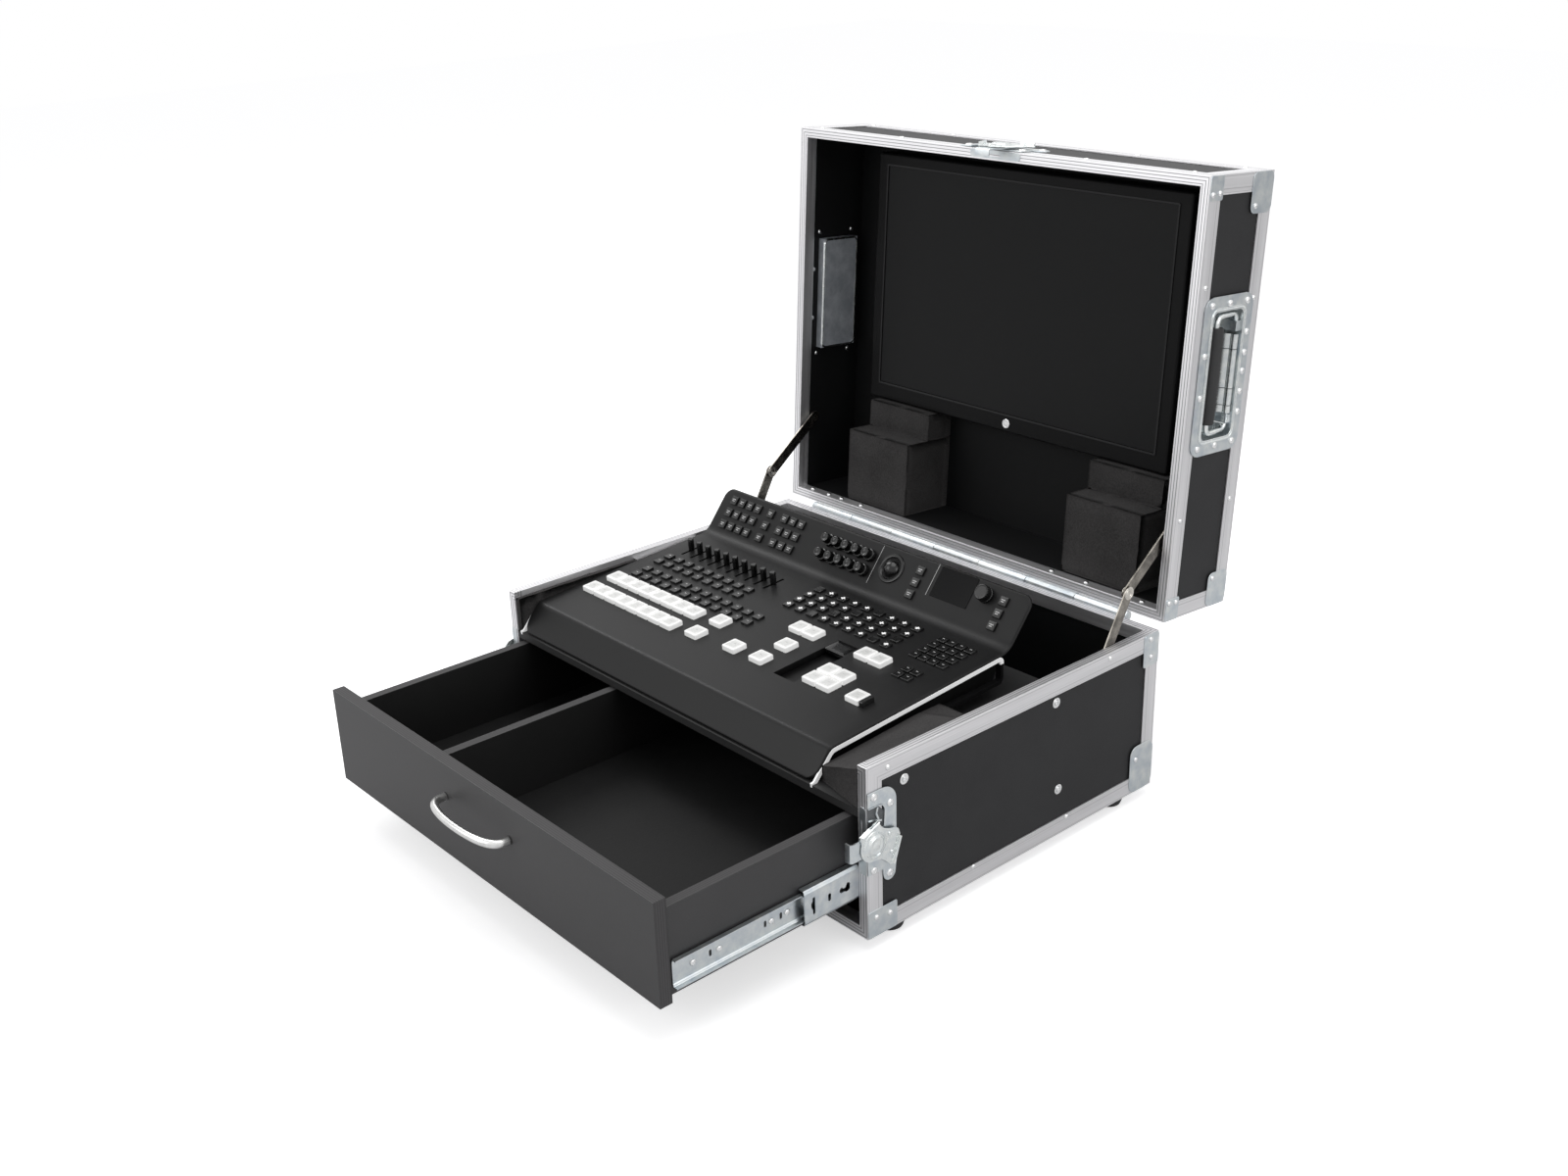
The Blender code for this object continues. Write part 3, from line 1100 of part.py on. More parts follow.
    x0, y0, x1, y1 = LEVER_SLOT
    cut(body, on_face(box("lever_slot", (x0, y0, -2 * wall), (x1, y1, wall)), DECK_FRAME))
    lever = on_face(box("console_lever", (x0 + CLEAR, y1 - CLEAR - LEVER_HEAD, shelf - CARRIER),
                        (x1 - CLEAR, y1 - CLEAR, 2 * CLEAR), DARK_KEY, ROOT), DECK_FRAME)
    join(lever, on_face(box("lever_foot", (x0 - LEVER_LIP, y1 - 2 * CLEAR - LEVER_HEAD, shelf - CARRIER / 2),
                            (x1 + LEVER_LIP, y1 - 2 * CLEAR, shelf)), DECK_FRAME))

    join(body, on_face(posts("knob_cluster", KNOB_CLUSTER, CLUSTER_RADIUS, -wall / 2, CLUSTER_HEIGHT, 12), PANEL_FRAME))
    x, y = KNOB_PLACE
    knob_axis = empty("knob_axis", PANEL_FRAME @ Vector((x, y, 0.0)), ROOT)
    knob_axis.rotation_euler = PANEL_FRAME.to_euler()
    knob = rod("console_knob", (0, 0, CLEAR), (0, 0, KNOB_HEIGHT), KNOB_RADIUS, DARK_KEY, knob_axis, 24,
               KNOB_RADIUS * 0.94)
    join(knob, rod("knob_shaft", (0, 0, -3 * wall), (0, 0, KNOB_HEIGHT / 2), KNOB_SHAFT, sides=16))
    cut(body, on_face(posts("knob_hole", [KNOB_PLACE], KNOB_SHAFT + CLEAR, -2 * wall, wall, 16), PANEL_FRAME))

    x, y = BALL_PLACE
    ball_axis = empty("ball_axis", PANEL_FRAME @ Vector((x, y, -BALL_SINK)), ROOT)
    for name, radius, parent in (("console_trackball", BALL_RADIUS, ball_axis), ("ball_socket", BALL_RADIUS + BALL_RUN, None)):
        shape = bmesh.new()
        bmesh.ops.create_uvsphere(shape, u_segments=20, v_segments=12, radius=radius)
        ball = add(name, settle(shape, name), PLASTIC if parent else None, parent)
        ball.data.shade_smooth()
        if not parent:
            ball.data.transform(Matrix.Translation(PANEL_FRAME @ Vector((x, y, -BALL_SINK))))
            cut(body, ball)


base_shell()
feet()
shelf_and_foam()
slides()
drawer()
hinge()
lid_shell()
lid_handles()
monitor_and_foam()
stays()
latches()
console()
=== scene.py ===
"""Video switcher case, standing open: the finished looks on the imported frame.

Metres, +Z up. The base frame has its zero at the middle of the base's underside, and the lid frame at the
hinge axis, lying as the shut lid does. Both are set once below and every piece is placed through them.
"""

import math

import bmesh
import bpy
import numpy as np
from mathutils import Matrix, Vector


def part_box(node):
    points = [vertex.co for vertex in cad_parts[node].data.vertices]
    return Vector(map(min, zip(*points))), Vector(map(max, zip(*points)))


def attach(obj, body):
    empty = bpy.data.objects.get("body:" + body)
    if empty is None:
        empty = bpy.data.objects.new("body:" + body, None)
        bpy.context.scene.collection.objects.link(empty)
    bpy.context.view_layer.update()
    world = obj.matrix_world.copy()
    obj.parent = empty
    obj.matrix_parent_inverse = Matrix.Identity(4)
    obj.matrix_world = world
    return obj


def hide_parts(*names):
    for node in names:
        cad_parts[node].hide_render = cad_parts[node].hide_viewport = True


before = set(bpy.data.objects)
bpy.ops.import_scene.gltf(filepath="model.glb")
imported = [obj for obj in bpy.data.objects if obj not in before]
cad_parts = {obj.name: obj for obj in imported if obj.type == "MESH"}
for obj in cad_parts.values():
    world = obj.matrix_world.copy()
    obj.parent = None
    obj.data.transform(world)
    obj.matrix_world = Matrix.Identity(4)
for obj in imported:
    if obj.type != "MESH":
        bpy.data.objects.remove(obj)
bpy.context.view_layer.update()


# Studio: a camera at the photograph's place, a pale floor that keeps the case's shadow, a white world and
# four soft boxes: a wide one overhead, one over the left shoulder, one at the right and a narrow one at the left.

STAND = (1.406196, -1.197849, 1.043732)
FOCAL_PIXELS, FRAME_PIXELS = 1707.94, 1600
SENSOR = 36.0

yaw, pitch, roll = -0.86204, -0.39775, -0.03319
ahead = Vector((math.sin(yaw) * math.cos(pitch), math.cos(yaw) * math.cos(pitch), math.sin(pitch)))
level = Vector((math.cos(yaw), -math.sin(yaw), 0.0))
upright = level.cross(ahead)
right = level * math.cos(roll) + upright * math.sin(roll)
up = upright * math.cos(roll) - level * math.sin(roll)
camera_data = bpy.data.cameras.new("camera")
camera_data.sensor_width = SENSOR
camera_data.lens = FOCAL_PIXELS / FRAME_PIXELS * SENSOR
camera_data.clip_start = 0.05
camera = bpy.data.objects.new("camera", camera_data)
camera.matrix_world = Matrix((
    (right.x, up.x, -ahead.x, STAND[0]), (right.y, up.y, -ahead.y, STAND[1]),
    (right.z, up.z, -ahead.z, STAND[2]), (0, 0, 0, 1)))
bpy.context.collection.objects.link(camera)
bpy.context.scene.camera = camera
bpy.context.scene.view_settings.view_transform = "Standard"


def node(tree, kind, inputs=None, **settings):
    """A shader node with its settings, each input given as a value or as another node's output."""
    made = tree.nodes.new(kind)
    for name, value in settings.items():
        setattr(made, name, value)
    for name, value in (inputs or {}).items():
        socket = made.inputs[name]
        if isinstance(value, bpy.types.NodeSocket):
            tree.links.new(value, socket)
        else:
            socket.default_value = value
    return made


def soft_box(name, place, target, size, power):
    """A rectangular area lamp that faces its target."""
    lamp = bpy.data.lights.new(name, "AREA")
    lamp.shape = "RECTANGLE"
    lamp.size, lamp.size_y = size
    lamp.energy = power
    box = bpy.data.objects.new(name, lamp)
    box.location = place
    box.rotation_euler = (Vector(target) - Vector(place)).to_track_quat("-Z", "Y").to_euler()
    bpy.context.collection.objects.link(box)


soft_box("overhead", (0.3, 0.2, 2.6), (0.0, 0.0, 0.2), (2.2, 1.8), 26.0)
soft_box("left_shoulder", (-1.2, -2.2, 1.6), (0.0, 0.0, 0.3), (1.6, 1.4), 16.0)
soft_box("right_side", (2.6, 0.3, 1.2), (0.1, 0.1, 0.3), (1.4, 1.4), 12.0)
soft_box("left_overhead", (-1.55, 0.10, 1.75), (0.0, -0.10, 0.2), (0.45, 1.1), 9.0)

world = bpy.data.worlds.new("studio")
bpy.context.scene.world = world
world.use_nodes = True
tree = world.node_tree
tree.nodes.clear()
rays = node(tree, "ShaderNodeLightPath")
seen = node(tree, "ShaderNodeMath", {0: rays.outputs["Is Camera Ray"], 1: rays.outputs["Is Transmission Ray"]},
            operation="MAXIMUM")
seen = node(tree, "ShaderNodeMath", {0: seen.outputs[0], 1: rays.outputs["Is Glossy Ray"]}, operation="MAXIMUM")
plain = node(tree, "ShaderNodeBackground", {"Color": (1, 1, 1, 1), "Strength": 0.50})
white = node(tree, "ShaderNodeBackground", {"Color": (1, 1, 1, 1), "Strength": 1.0})
both = node(tree, "ShaderNodeMixShader", {0: seen.outputs[0], 1: plain.outputs[0], 2: white.outputs[0]})
node(tree, "ShaderNodeOutputWorld", {"Surface": both.outputs[0]})

FAR = 9.0
floor_mesh = bpy.data.meshes.new("floor")
floor_mesh.from_pydata([(-FAR, -FAR, 0), (FAR, -FAR, 0), (FAR, FAR, 0), (-FAR, FAR, 0)], [], [(0, 1, 2, 3)])
floor = bpy.data.objects.new("floor", floor_mesh)
bpy.context.collection.objects.link(floor)
material = bpy.data.materials.new("pale_floor")
material.use_nodes = True
tree = material.node_tree
tree.nodes.clear()
rays = node(tree, "ShaderNodeLightPath")
pale = node(tree, "ShaderNodeBsdfDiffuse", {"Color": (0.86, 0.86, 0.87, 1)})
bare = node(tree, "ShaderNodeMath", {0: rays.outputs["Is Camera Ray"], 1: 0.56}, operation="MULTIPLY")
lift = node(tree, "ShaderNodeEmission", {"Color": (1, 1, 1, 1), "Strength": bare.outputs[0]})
shade = node(tree, "ShaderNodeAddShader", {0: pale.outputs[0], 1: lift.outputs[0]})
node(tree, "ShaderNodeOutputMaterial", {"Surface": shade.outputs[0]})
floor_mesh.materials.append(material)


# Base panels: 9 mm birch plywood with a black phenolic skin pressed to a fine linen grain. They are cut to
# size, let into the aluminium sections and riveted.

BASE_ZERO = np.array((0.0, 0.065423, 0.014))


def finish(name, **values):
    """A Principled material with fixed socket values. Returns the material, its node tree and its shader."""
    made = bpy.data.materials.new(name)
    made.use_nodes = True
    made.node_tree.nodes["Material Output"].target = "ALL"
    shader = made.node_tree.nodes["Principled BSDF"]
    for socket, value in values.items():
        shader.inputs[socket.replace("_", " ")].default_value = value
    return made, made.node_tree, shader


def group(name, inputs, outputs):
    """An empty shader node group. inputs is {name: default}, outputs a list of float socket names."""
    tree = bpy.data.node_groups.new(name, "ShaderNodeTree")
    for label, value in inputs.items():
        kind = "NodeSocketVector" if isinstance(value, tuple) else "NodeSocketFloat"
        socket = tree.interface.new_socket(label, in_out="INPUT", socket_type=kind)
        socket.default_value = value
    for label in outputs:
        tree.interface.new_socket(label, in_out="OUTPUT", socket_type="NodeSocketFloat")
    return tree, node(tree, "NodeGroupInput"), node(tree, "NodeGroupOutput")


def use(tree, shared, inputs):
    """A shared group placed in a material with its own values."""
    made = node(tree, "ShaderNodeGroup", None, node_tree=shared)
    for name, value in inputs.items():
        if isinstance(value, bpy.types.NodeSocket):
            tree.links.new(value, made.inputs[name])
        else:
            made.inputs[name].default_value = value
    return made


def blend(tree, factor, low, high):
    """A colour between two, by a mask."""
    mix = node(tree, "ShaderNodeMix", None, data_type="RGBA")
    for index, value in ((6, low), (7, high)):
        if isinstance(value, bpy.types.NodeSocket):
            tree.links.new(value, mix.inputs[index])
        else:
            mix.inputs[index].default_value = (*value, 1)
    tree.links.new(factor, mix.inputs[0])
    return mix.outputs[2]


def maths(tree, operation, *values):
    return node(tree, "ShaderNodeMath", dict(enumerate(values)), operation=operation).outputs[0]


def noise(tree, place, scale, detail=2.0, roughness=0.5, distortion=0.0):
    return node(tree, "ShaderNodeTexNoise", {"Vector": place, "Scale": scale, "Detail": detail,
                                             "Roughness": roughness, "Distortion": distortion}).outputs[0]


def ramp(tree, value, low, high, falling=False):
    """A mask that goes from 0 to 1 between two values, or from 1 to 0."""
    ends = {"To Min": 1.0, "To Max": 0.0} if falling else {}
    return node(tree, "ShaderNodeMapRange", {"Value": value, "From Min": low, "From Max": high, **ends}).outputs[0]


def own_place(tree, turn=None):
    """The object's own coordinates, or those of a frame with its location and rotation."""
    place = node(tree, "ShaderNodeTexCoord").outputs["Object"]
    if turn:
        place = node(tree, "ShaderNodeMapping", {"Vector": place, "Location": turn[0], "Rotation": turn[1]},
                     vector_type="TEXTURE").outputs[0]
    return place


def relief(tree, shader, height, depth, strength=0.5):
    """Bump from a height of 0 to 1, over a real depth in metres."""
    bump = node(tree, "ShaderNodeBump", {"Height": height, "Distance": depth, "Strength": strength})
    tree.links.new(bump.outputs[0], shader.inputs["Normal"])


# Shared grain: fine crossed threads, cloudy wear and a few pale scuffs, all from the object's own place.
ORIGIN, ONES = (0.0, 0.0, 0.0), (1.0, 1.0, 1.0)
grain, given, put = group("pressed_grain", {"Vector": ORIGIN, "Threads": 900.0, "Clouds": 9.0},
                          ["Tone", "Wear", "Height"])
here = given.outputs["Vector"]
threads = noise(grain, here, given.outputs["Threads"], 2.0, 0.6)
clouds = noise(grain, here, given.outputs["Clouds"], 5.0, 0.62)
spots = ramp(grain, noise(grain, here, 70.0, 6.0, 0.8, 1.2), 0.66, 0.80)
mixed = maths(grain, "MULTIPLY_ADD", threads, 0.45, maths(grain, "MULTIPLY", clouds, 0.55))
grain.links.new(mixed, put.inputs["Tone"])
grain.links.new(spots, put.inputs["Wear"])
grain.links.new(threads, put.inputs["Height"])


def board(name, dark, light, roughness, depth, threads=900.0, gloss=0.5):
    """A pressed sheet finish between two tones, with cloudy roughness and a fine raised grain."""
    made, tree, shader = finish(name, Specular_IOR_Level=gloss)
    marks = use(tree, grain, {"Vector": own_place(tree), "Threads": threads})
    tone = ramp(tree, marks.outputs["Tone"], 0.35, 0.65)
    tree.links.new(blend(tree, tone, dark, light), shader.inputs["Base Color"])
    rough = maths(tree, "MULTIPLY_ADD", marks.outputs["Tone"], 0.16, roughness - 0.08)
    tree.links.new(maths(tree, "MULTIPLY_ADD", marks.outputs["Wear"], 0.10, rough), shader.inputs["Roughness"])
    relief(tree, shader, marks.outputs["Height"], depth)
    return made


def dress(piece, material):
    """Gives a piece, or a node of the frame by its name, one finish."""
    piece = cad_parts[piece] if isinstance(piece, str) else piece
    piece.data.materials.clear()
    piece.data.materials.append(material)
    return piece


def eased(name, width, material):
    """A node of the frame with its corners eased: its loose faces are welded and then bevelled."""
    piece = dress(name, material)
    weld = piece.modifiers.new("weld", "WELD")
    weld.merge_threshold = 0.00001
    ease = piece.modifiers.new("ease", "BEVEL")
    ease.width = width
    ease.segments = 2
    ease.limit_method = "ANGLE"
    ease.angle_limit = math.radians(40)
    ease.use_clamp_overlap = True
    return piece


def laminate_with_inner_shade(name, low, high, turn=None):
    """Black laminate outside, and inside painted near black as painted shade: the inside is whatever lies more than
    5 mm within the box between two corners."""
    made, tree, shader = finish(name, Specular_IOR_Level=0.20)
    marks = use(tree, grain, {"Vector": own_place(tree)})
    depth = use(tree, depth_in, {"Vector": own_place(tree, turn), "Low": low, "High": high}).outputs["Depth"]
    # Whatever lies deeper than 5 mm in the box is painted near black: painted shade inside the box.
    inside = ramp(tree, depth, 0.004, 0.006)
    tone = ramp(tree, marks.outputs["Tone"], 0.35, 0.65)
    outer = blend(tree, tone, (0.0150, 0.0150, 0.0160), (0.0250, 0.0250, 0.0262))
    inner = blend(tree, tone, (0.0014, 0.0015, 0.0017), (0.0028, 0.0030, 0.0034))
    tree.links.new(blend(tree, inside, outer, inner), shader.inputs["Base Color"])
    rough = maths(tree, "MULTIPLY_ADD", marks.outputs["Tone"], 0.16, 0.44)
    rough = maths(tree, "MULTIPLY_ADD", marks.outputs["Wear"], 0.10, rough)
    tree.links.new(maths(tree, "MULTIPLY_ADD", inside, 0.12, rough), shader.inputs["Roughness"])
    relief(tree, shader, marks.outputs["Height"], 0.00012)
    return made


def box_depths(tree, given):
    """How far a place lies within a box from its nearer side each way: the least, middle and most, and across x."""
    low = node(tree, "ShaderNodeVectorMath", {0: given.outputs["Vector"], 1: given.outputs["Low"]},
               operation="SUBTRACT")
    high = node(tree, "ShaderNodeVectorMath", {0: given.outputs["High"], 1: given.outputs["Vector"]},
                operation="SUBTRACT")
    nearer = node(tree, "ShaderNodeVectorMath", {0: low.outputs[0], 1: high.outputs[0]}, operation="MINIMUM")
    x, y, z = node(tree, "ShaderNodeSeparateXYZ", {0: nearer.outputs[0]}).outputs
    least = maths(tree, "MINIMUM", maths(tree, "MINIMUM", x, y), z)
    most = maths(tree, "MAXIMUM", maths(tree, "MAXIMUM", x, y), z)
    total = maths(tree, "ADD", maths(tree, "ADD", x, y), z)
    return least, maths(tree, "SUBTRACT", maths(tree, "SUBTRACT", total, least), most), most, x


# Shared depth: how far a place lies within a box, measured to the nearest of its six sides.
BOX_INPUTS = {"Vector": ORIGIN, "Low": ORIGIN, "High": ONES}
depth_in, given, put = group("depth_in_box", BOX_INPUTS, ["Depth"])
depth_in.links.new(box_depths(depth_in, given)[0], put.inputs["Depth"])

BASE_OUTSIDE = ((-0.330, -0.60, 0.014), (0.330, 0.305423, 0.40))
laminate = laminate_with_inner_shade("black_laminate", *BASE_OUTSIDE)
for name in ("base_side_left", "base_side_right", "base_rear_panel", "base_floor_panel"):
    dress(name, laminate)


# Aluminium sections of the base: a U section round the open top and front, mitred at its corners, and L
# sections along the other edges. They are extruded, so fine grooves and drawing marks run along them.

RIM_BOX = ((-0.330, -0.174577, 0.014), (0.330, 0.305423, 0.220))

run, given, put = group("section_run", BOX_INPUTS, ["Streak", "Groove", "Mating"])
least, across, most, side_on = box_depths(run, given)
drawn = node(run, "ShaderNodeCombineXYZ", {0: across, 1: least, 2: maths(run, "MULTIPLY", most, 0.012)})
streak = noise(run, drawn.outputs[0], 420.0, 2.0, 0.55)
beside = ramp(run, side_on, 0.0003, 0.0006)
lines = None
RIBS = ((0.0024, 0.00055, True), (0.0062, 0.00055, True), (0.0100, 0.00055, True),
        (0.0026, 0.0005, False), (0.0160, 0.0005, False), (0.0200, 0.0005, False))
for centre, half, deep in RIBS:
    off = maths(run, "ABSOLUTE", maths(run, "SUBTRACT", across, centre))
    share = beside if deep else maths(run, "MULTIPLY", maths(run, "SUBTRACT", 1.0, beside), 0.40)
    line = maths(run, "MULTIPLY", ramp(run, off, half * 0.5, half * 1.2, falling=True), share)
    lines = line if lines is None else maths(run, "MAXIMUM", lines, line)
run.links.new(streak, put.inputs["Streak"])
run.links.new(lines, put.inputs["Groove"])
run.links.new(beside, put.inputs["Mating"])


def section_finish(name, low, high, turn=None):
    """Mill-finish aluminium, drawn along the frame of a box between two corners."""
    made, tree, shader = finish(name, Metallic=1.0)
    place = own_place(tree, turn)
    marks = use(tree, run, {"Vector": place, "Low": low, "High": high})
    dirt = use(tree, grain, {"Vector": place, "Threads": 260.0, "Clouds": 14.0})
    milled = blend(tree, marks.outputs["Streak"], (0.70, 0.695, 0.71), (0.92, 0.915, 0.93))
    tone = blend(tree, marks.outputs["Streak"], (0.56, 0.555, 0.565), (0.80, 0.795, 0.805))
    tone = blend(tree, marks.outputs["Mating"], tone, milled)
    tone = blend(tree, maths(tree, "MULTIPLY", marks.outputs["Groove"], 0.75), tone, (0.13, 0.13, 0.14))
    tree.links.new(tone, shader.inputs["Base Color"])
    rough = maths(tree, "MULTIPLY_ADD", marks.outputs["Streak"], 0.20, 0.30)
    tree.links.new(maths(tree, "MULTIPLY_ADD", dirt.outputs["Tone"], 0.10, rough), shader.inputs["Roughness"])
    height = maths(tree, "SUBTRACT", 1.0, marks.outputs["Groove"])
    height = maths(tree, "MULTIPLY_ADD", marks.outputs["Streak"], 0.12, height)
    relief(tree, shader, height, 0.0003, 0.4)
    return made


section = section_finish("aluminium_section", *RIM_BOX)
for name in ("base_rim", "base_edge_angles"):
    eased(name, 0.0006, section)


# Fixings of the base shell: pressed zinc braces over the corners, dome rivets through them and along the
# sections, and washered screws that hold the shelf and the slides from outside.

def piece(name, points, faces, sharp=35.0):
    """An object from an array of points and lists of corner numbers, in its final place."""
    mesh = bpy.data.meshes.new(name)
    mesh.from_pydata(np.asarray(points, float).tolist(), [], [tuple(int(i) for i in face) for face in faces])
    mesh.validate()
    if sharp:
        mesh.shade_smooth()
        mesh.set_sharp_from_angle(angle=math.radians(sharp))
    made = bpy.data.objects.new(name, mesh)
    bpy.context.collection.objects.link(made)
    return made


def fit(made, material, body, stands_for=None):
    """Dresses a piece, hides the node of the frame that it stands for, and puts it on its body."""
    dress(made, material)
    if stands_for:
        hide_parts(stands_for)
    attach(made, body)
    return made


def ring_faces(sides, rings):
    """Faces round a stack of rings of points, closed over the first and the last."""
    step = np.arange(sides)
    quads = np.stack((step, (step + 1) % sides, (step + 1) % sides + sides, step + sides), axis=1)
    faces = [(quad + sides * i).tolist() for i in range(rings - 1) for quad in quads]
    return faces + [step[::-1].tolist(), (step + sides * (rings - 1)).tolist()]


def circle(count, lobes=0, depth=0.0):
    """A unit ring of points; its radius may ripple: 1 - depth * (1 - cos(lobes * angle)) / 2."""
    angle = np.arange(count) * 2 * np.pi / count
    radius = 1 - depth * (1 - np.cos(lobes * angle)) / 2
    return np.stack((radius * np.cos(angle), radius * np.sin(angle)), axis=1)


def studs(ring, profile, places, across, along, out=None):
    """Copies of one stacked shape. Each point is place + scale * (ring x * across + ring y * along) + height * out,
    for each (scale, height) of the profile from its foot to its top, closed by a flat face at both ends."""
    places = np.atleast_2d(np.asarray(places, float))
    across, along = np.asarray(across, float), np.asarray(along, float)
    out = np.cross(across, along) if out is None else np.asarray(out, float)
    profile = np.asarray(profile, float)
    n, k, m = len(places), len(ring), len(profile)
    flat = ring[:, :1] * across + ring[:, 1:] * along
    shape = profile[:, None, :1] * flat[None] + profile[:, None, 1:] * out
    points = (places[:, None, None] + shape[None]).reshape(-1, 3)
    faces = [[i + k * m * copy for i in face] for copy in range(n) for face in ring_faces(k, m)]
    return points, faces


def gathered(*shapes):
    """Several (points, faces) as one."""
    points, faces, start = [], [], 0
    for some, sides in shapes:
        points.append(some)
        faces += [[i + start for i in face] for face in sides]
        start += len(some)
    return np.concatenate(points), faces


def rounded(width, height, radius, steps=5):
    """Outline of a rectangle about its middle, with arcs for corners."""
    turn = np.linspace(0, np.pi / 2, steps)
    arc = radius * np.stack((np.cos(turn), np.sin(turn)), axis=1)
    x, y = width / 2 - radius, height / 2 - radius
    quarter = [arc + (x, y), np.stack((-arc[::-1, 0], arc[::-1, 1]), 1) + (-x, y),
               -arc + (-x, -y), np.stack((arc[::-1, 0], -arc[::-1, 1]), 1) + (x, -y)]
    return np.concatenate(quarter)


def sheet(outline, place, across, along, thickness, edge=0.0003):
    """A flat sheet: its outline stands on a plane and its rim is turned over by a small edge."""
    middle = outline.mean(axis=0)
    size = np.abs(outline - middle).max()
    inner = 1 - edge / size
    origin = np.asarray(place, float) + middle[0] * np.asarray(across, float) + middle[1] * np.asarray(along, float)
    return studs(outline - middle, [(1, 0), (1, thickness - edge), (inner, thickness)], [origin], across, along)


def arc(centre, radius, start, end, steps=8):
    """Points on an arc, its angles in degrees from the first way to the second."""
    turn = np.radians(np.linspace(start, end, steps + 1))
    return np.asarray(centre) + radius * np.stack((np.cos(turn), np.sin(turn)), axis=1)


def sideways(line):
    """Unit vectors square to a flat line of points, to its left."""
    run = np.gradient(line, axis=0)
    run /= np.linalg.norm(run, axis=1, keepdims=True)
    return np.stack((-run[:, 1], run[:, 0]), axis=1)


def thick(line, thickness):
    """Closed outline of a line of points with a thickness laid half to each side of it, turning to the left."""
    line = np.asarray(line, float)
    beside = sideways(line) * thickness / 2
    ring = np.concatenate((line - beside, (line + beside)[::-1]))
    area = np.sum(ring[:, 0] * np.roll(ring[:, 1], -1) - np.roll(ring[:, 0], -1) * ring[:, 1])
    return ring if area > 0 else ring[::-1]


def pierced(outlines, thickness, place, across, along, bevel=0.0):
    """A flat sheet with openings: the first outline is its edge and the others are holes. The filled outline
    stands on a plane at place, and its thickness rises along across x along."""
    curve = bpy.data.curves.new("pierced", "CURVE")
    curve.dimensions = "2D"
    curve.fill_mode = "BOTH"
    curve.extrude = thickness / 2 - bevel
    curve.bevel_depth = bevel
    curve.bevel_resolution = 0
    curve.offset = -bevel
    for outline in outlines:
        spline = curve.splines.new("POLY")
        spline.points.add(len(outline) - 1)
        flat = np.zeros((len(outline), 4))
        flat[:, :2] = outline
        flat[:, 3] = 1
        spline.points.foreach_set("co", flat.ravel())
        spline.use_cyclic_u = True
    holder = bpy.data.objects.new("pierced", curve)
    bpy.context.collection.objects.link(holder)
    mesh = bpy.data.meshes.new_from_object(holder.evaluated_get(bpy.context.evaluated_depsgraph_get()))
    flat = np.zeros(len(mesh.vertices) * 3)
    mesh.vertices.foreach_get("co", flat)
    flat = flat.reshape(-1, 3)
    faces = [list(face.vertices) for face in mesh.polygons]
    bpy.data.objects.remove(holder)
    across, along = np.asarray(across, float), np.asarray(along, float)
    out = np.cross(across, along)
    points = place + flat[:, :1] * across + flat[:, 1:2] * along + (flat[:, 2:] + thickness / 2) * out
    return points, faces


def righted(made, weld=0.0):
    """Turns the faces of each closed shape of a piece outward, once points closer than weld are one."""
    edit = bmesh.new()
    edit.from_mesh(made.data)
    if weld:
        bmesh.ops.remove_doubles(edit, verts=edit.verts, dist=weld)
    bmesh.ops.recalc_face_normals(edit, faces=edit.faces)
    edit.to_mesh(made.data)
    edit.free()
    return made


def base(x, y, z):
    """A place in the base frame, in the row's frame."""
    return np.array((x, y, z)) + BASE_ZERO


plating, given, put = group("zinc_plating", {"Vector": ORIGIN, "Scale": 60.0}, ["Tint", "Rough", "Height"])
spangle = noise(plating, given.outputs["Vector"], given.outputs["Scale"], 4.0, 0.6)
fine = noise(plating, given.outputs["Vector"], 1400.0)
plating.links.new(spangle, put.inputs["Tint"])
polish = maths(plating, "MULTIPLY_ADD", fine, 0.14, maths(plating, "MULTIPLY", spangle, 0.16))
plating.links.new(polish, put.inputs["Rough"])
plating.links.new(fine, put.inputs["Height"])


def plated(name, cool, warm, roughness, scale=60.0):
    """Plated steel: bright metal whose tint and polish drift a little over the sheet."""
    made, tree, shader = finish(name, Metallic=1.0)
    marks = use(tree, plating, {"Vector": own_place(tree), "Scale": scale})
    tint = ramp(tree, marks.outputs["Tint"], 0.36, 0.66)
    tree.links.new(blend(tree, tint, cool, warm), shader.inputs["Base Color"])
    tree.links.new(maths(tree, "ADD", marks.outputs["Rough"], roughness - 0.15), shader.inputs["Roughness"])
    relief(tree, shader, marks.outputs["Height"], 0.00004, 0.35)
    return made


zinc = plated("zinc_plate", (0.50, 0.545, 0.58), (0.66, 0.685, 0.68), 0.34)
# A darker, half-metallic copy of the zinc for the left handle dish, whose pan shows inside the lid: painted shade.
shaded_zinc = plated("shaded_zinc", (0.40, 0.43, 0.47), (0.56, 0.59, 0.63), 0.34)
shaded_zinc.node_tree.nodes["Principled BSDF"].inputs["Metallic"].default_value = 0.5
wing_zinc = plated("wing_zinc", (0.66, 0.70, 0.71), (0.80, 0.82, 0.80), 0.24, 140.0)
rivet_steel = plated("rivet_steel", (0.70, 0.71, 0.72), (0.84, 0.84, 0.83), 0.26, 200.0)
DOME = [(0.0034, 0.0), (0.0034, 0.0003), (0.0031, 0.0010), (0.0024, 0.0016), (0.0013, 0.0019), (0.0005, 0.00195)]
WASHER = [(0.0062, 0.0), (0.0062, 0.0006), (0.0058, 0.0009), (0.0036, 0.0009), (0.0036, 0.0011), (0.0033, 0.0018),
          (0.0022, 0.0022), (0.0016, 0.0022), (0.0014, 0.0014)]
X, Y, Z = np.eye(3)
shell_rivets, shell_braces, shell_screws = [], [], []
BRACE = 0.0009
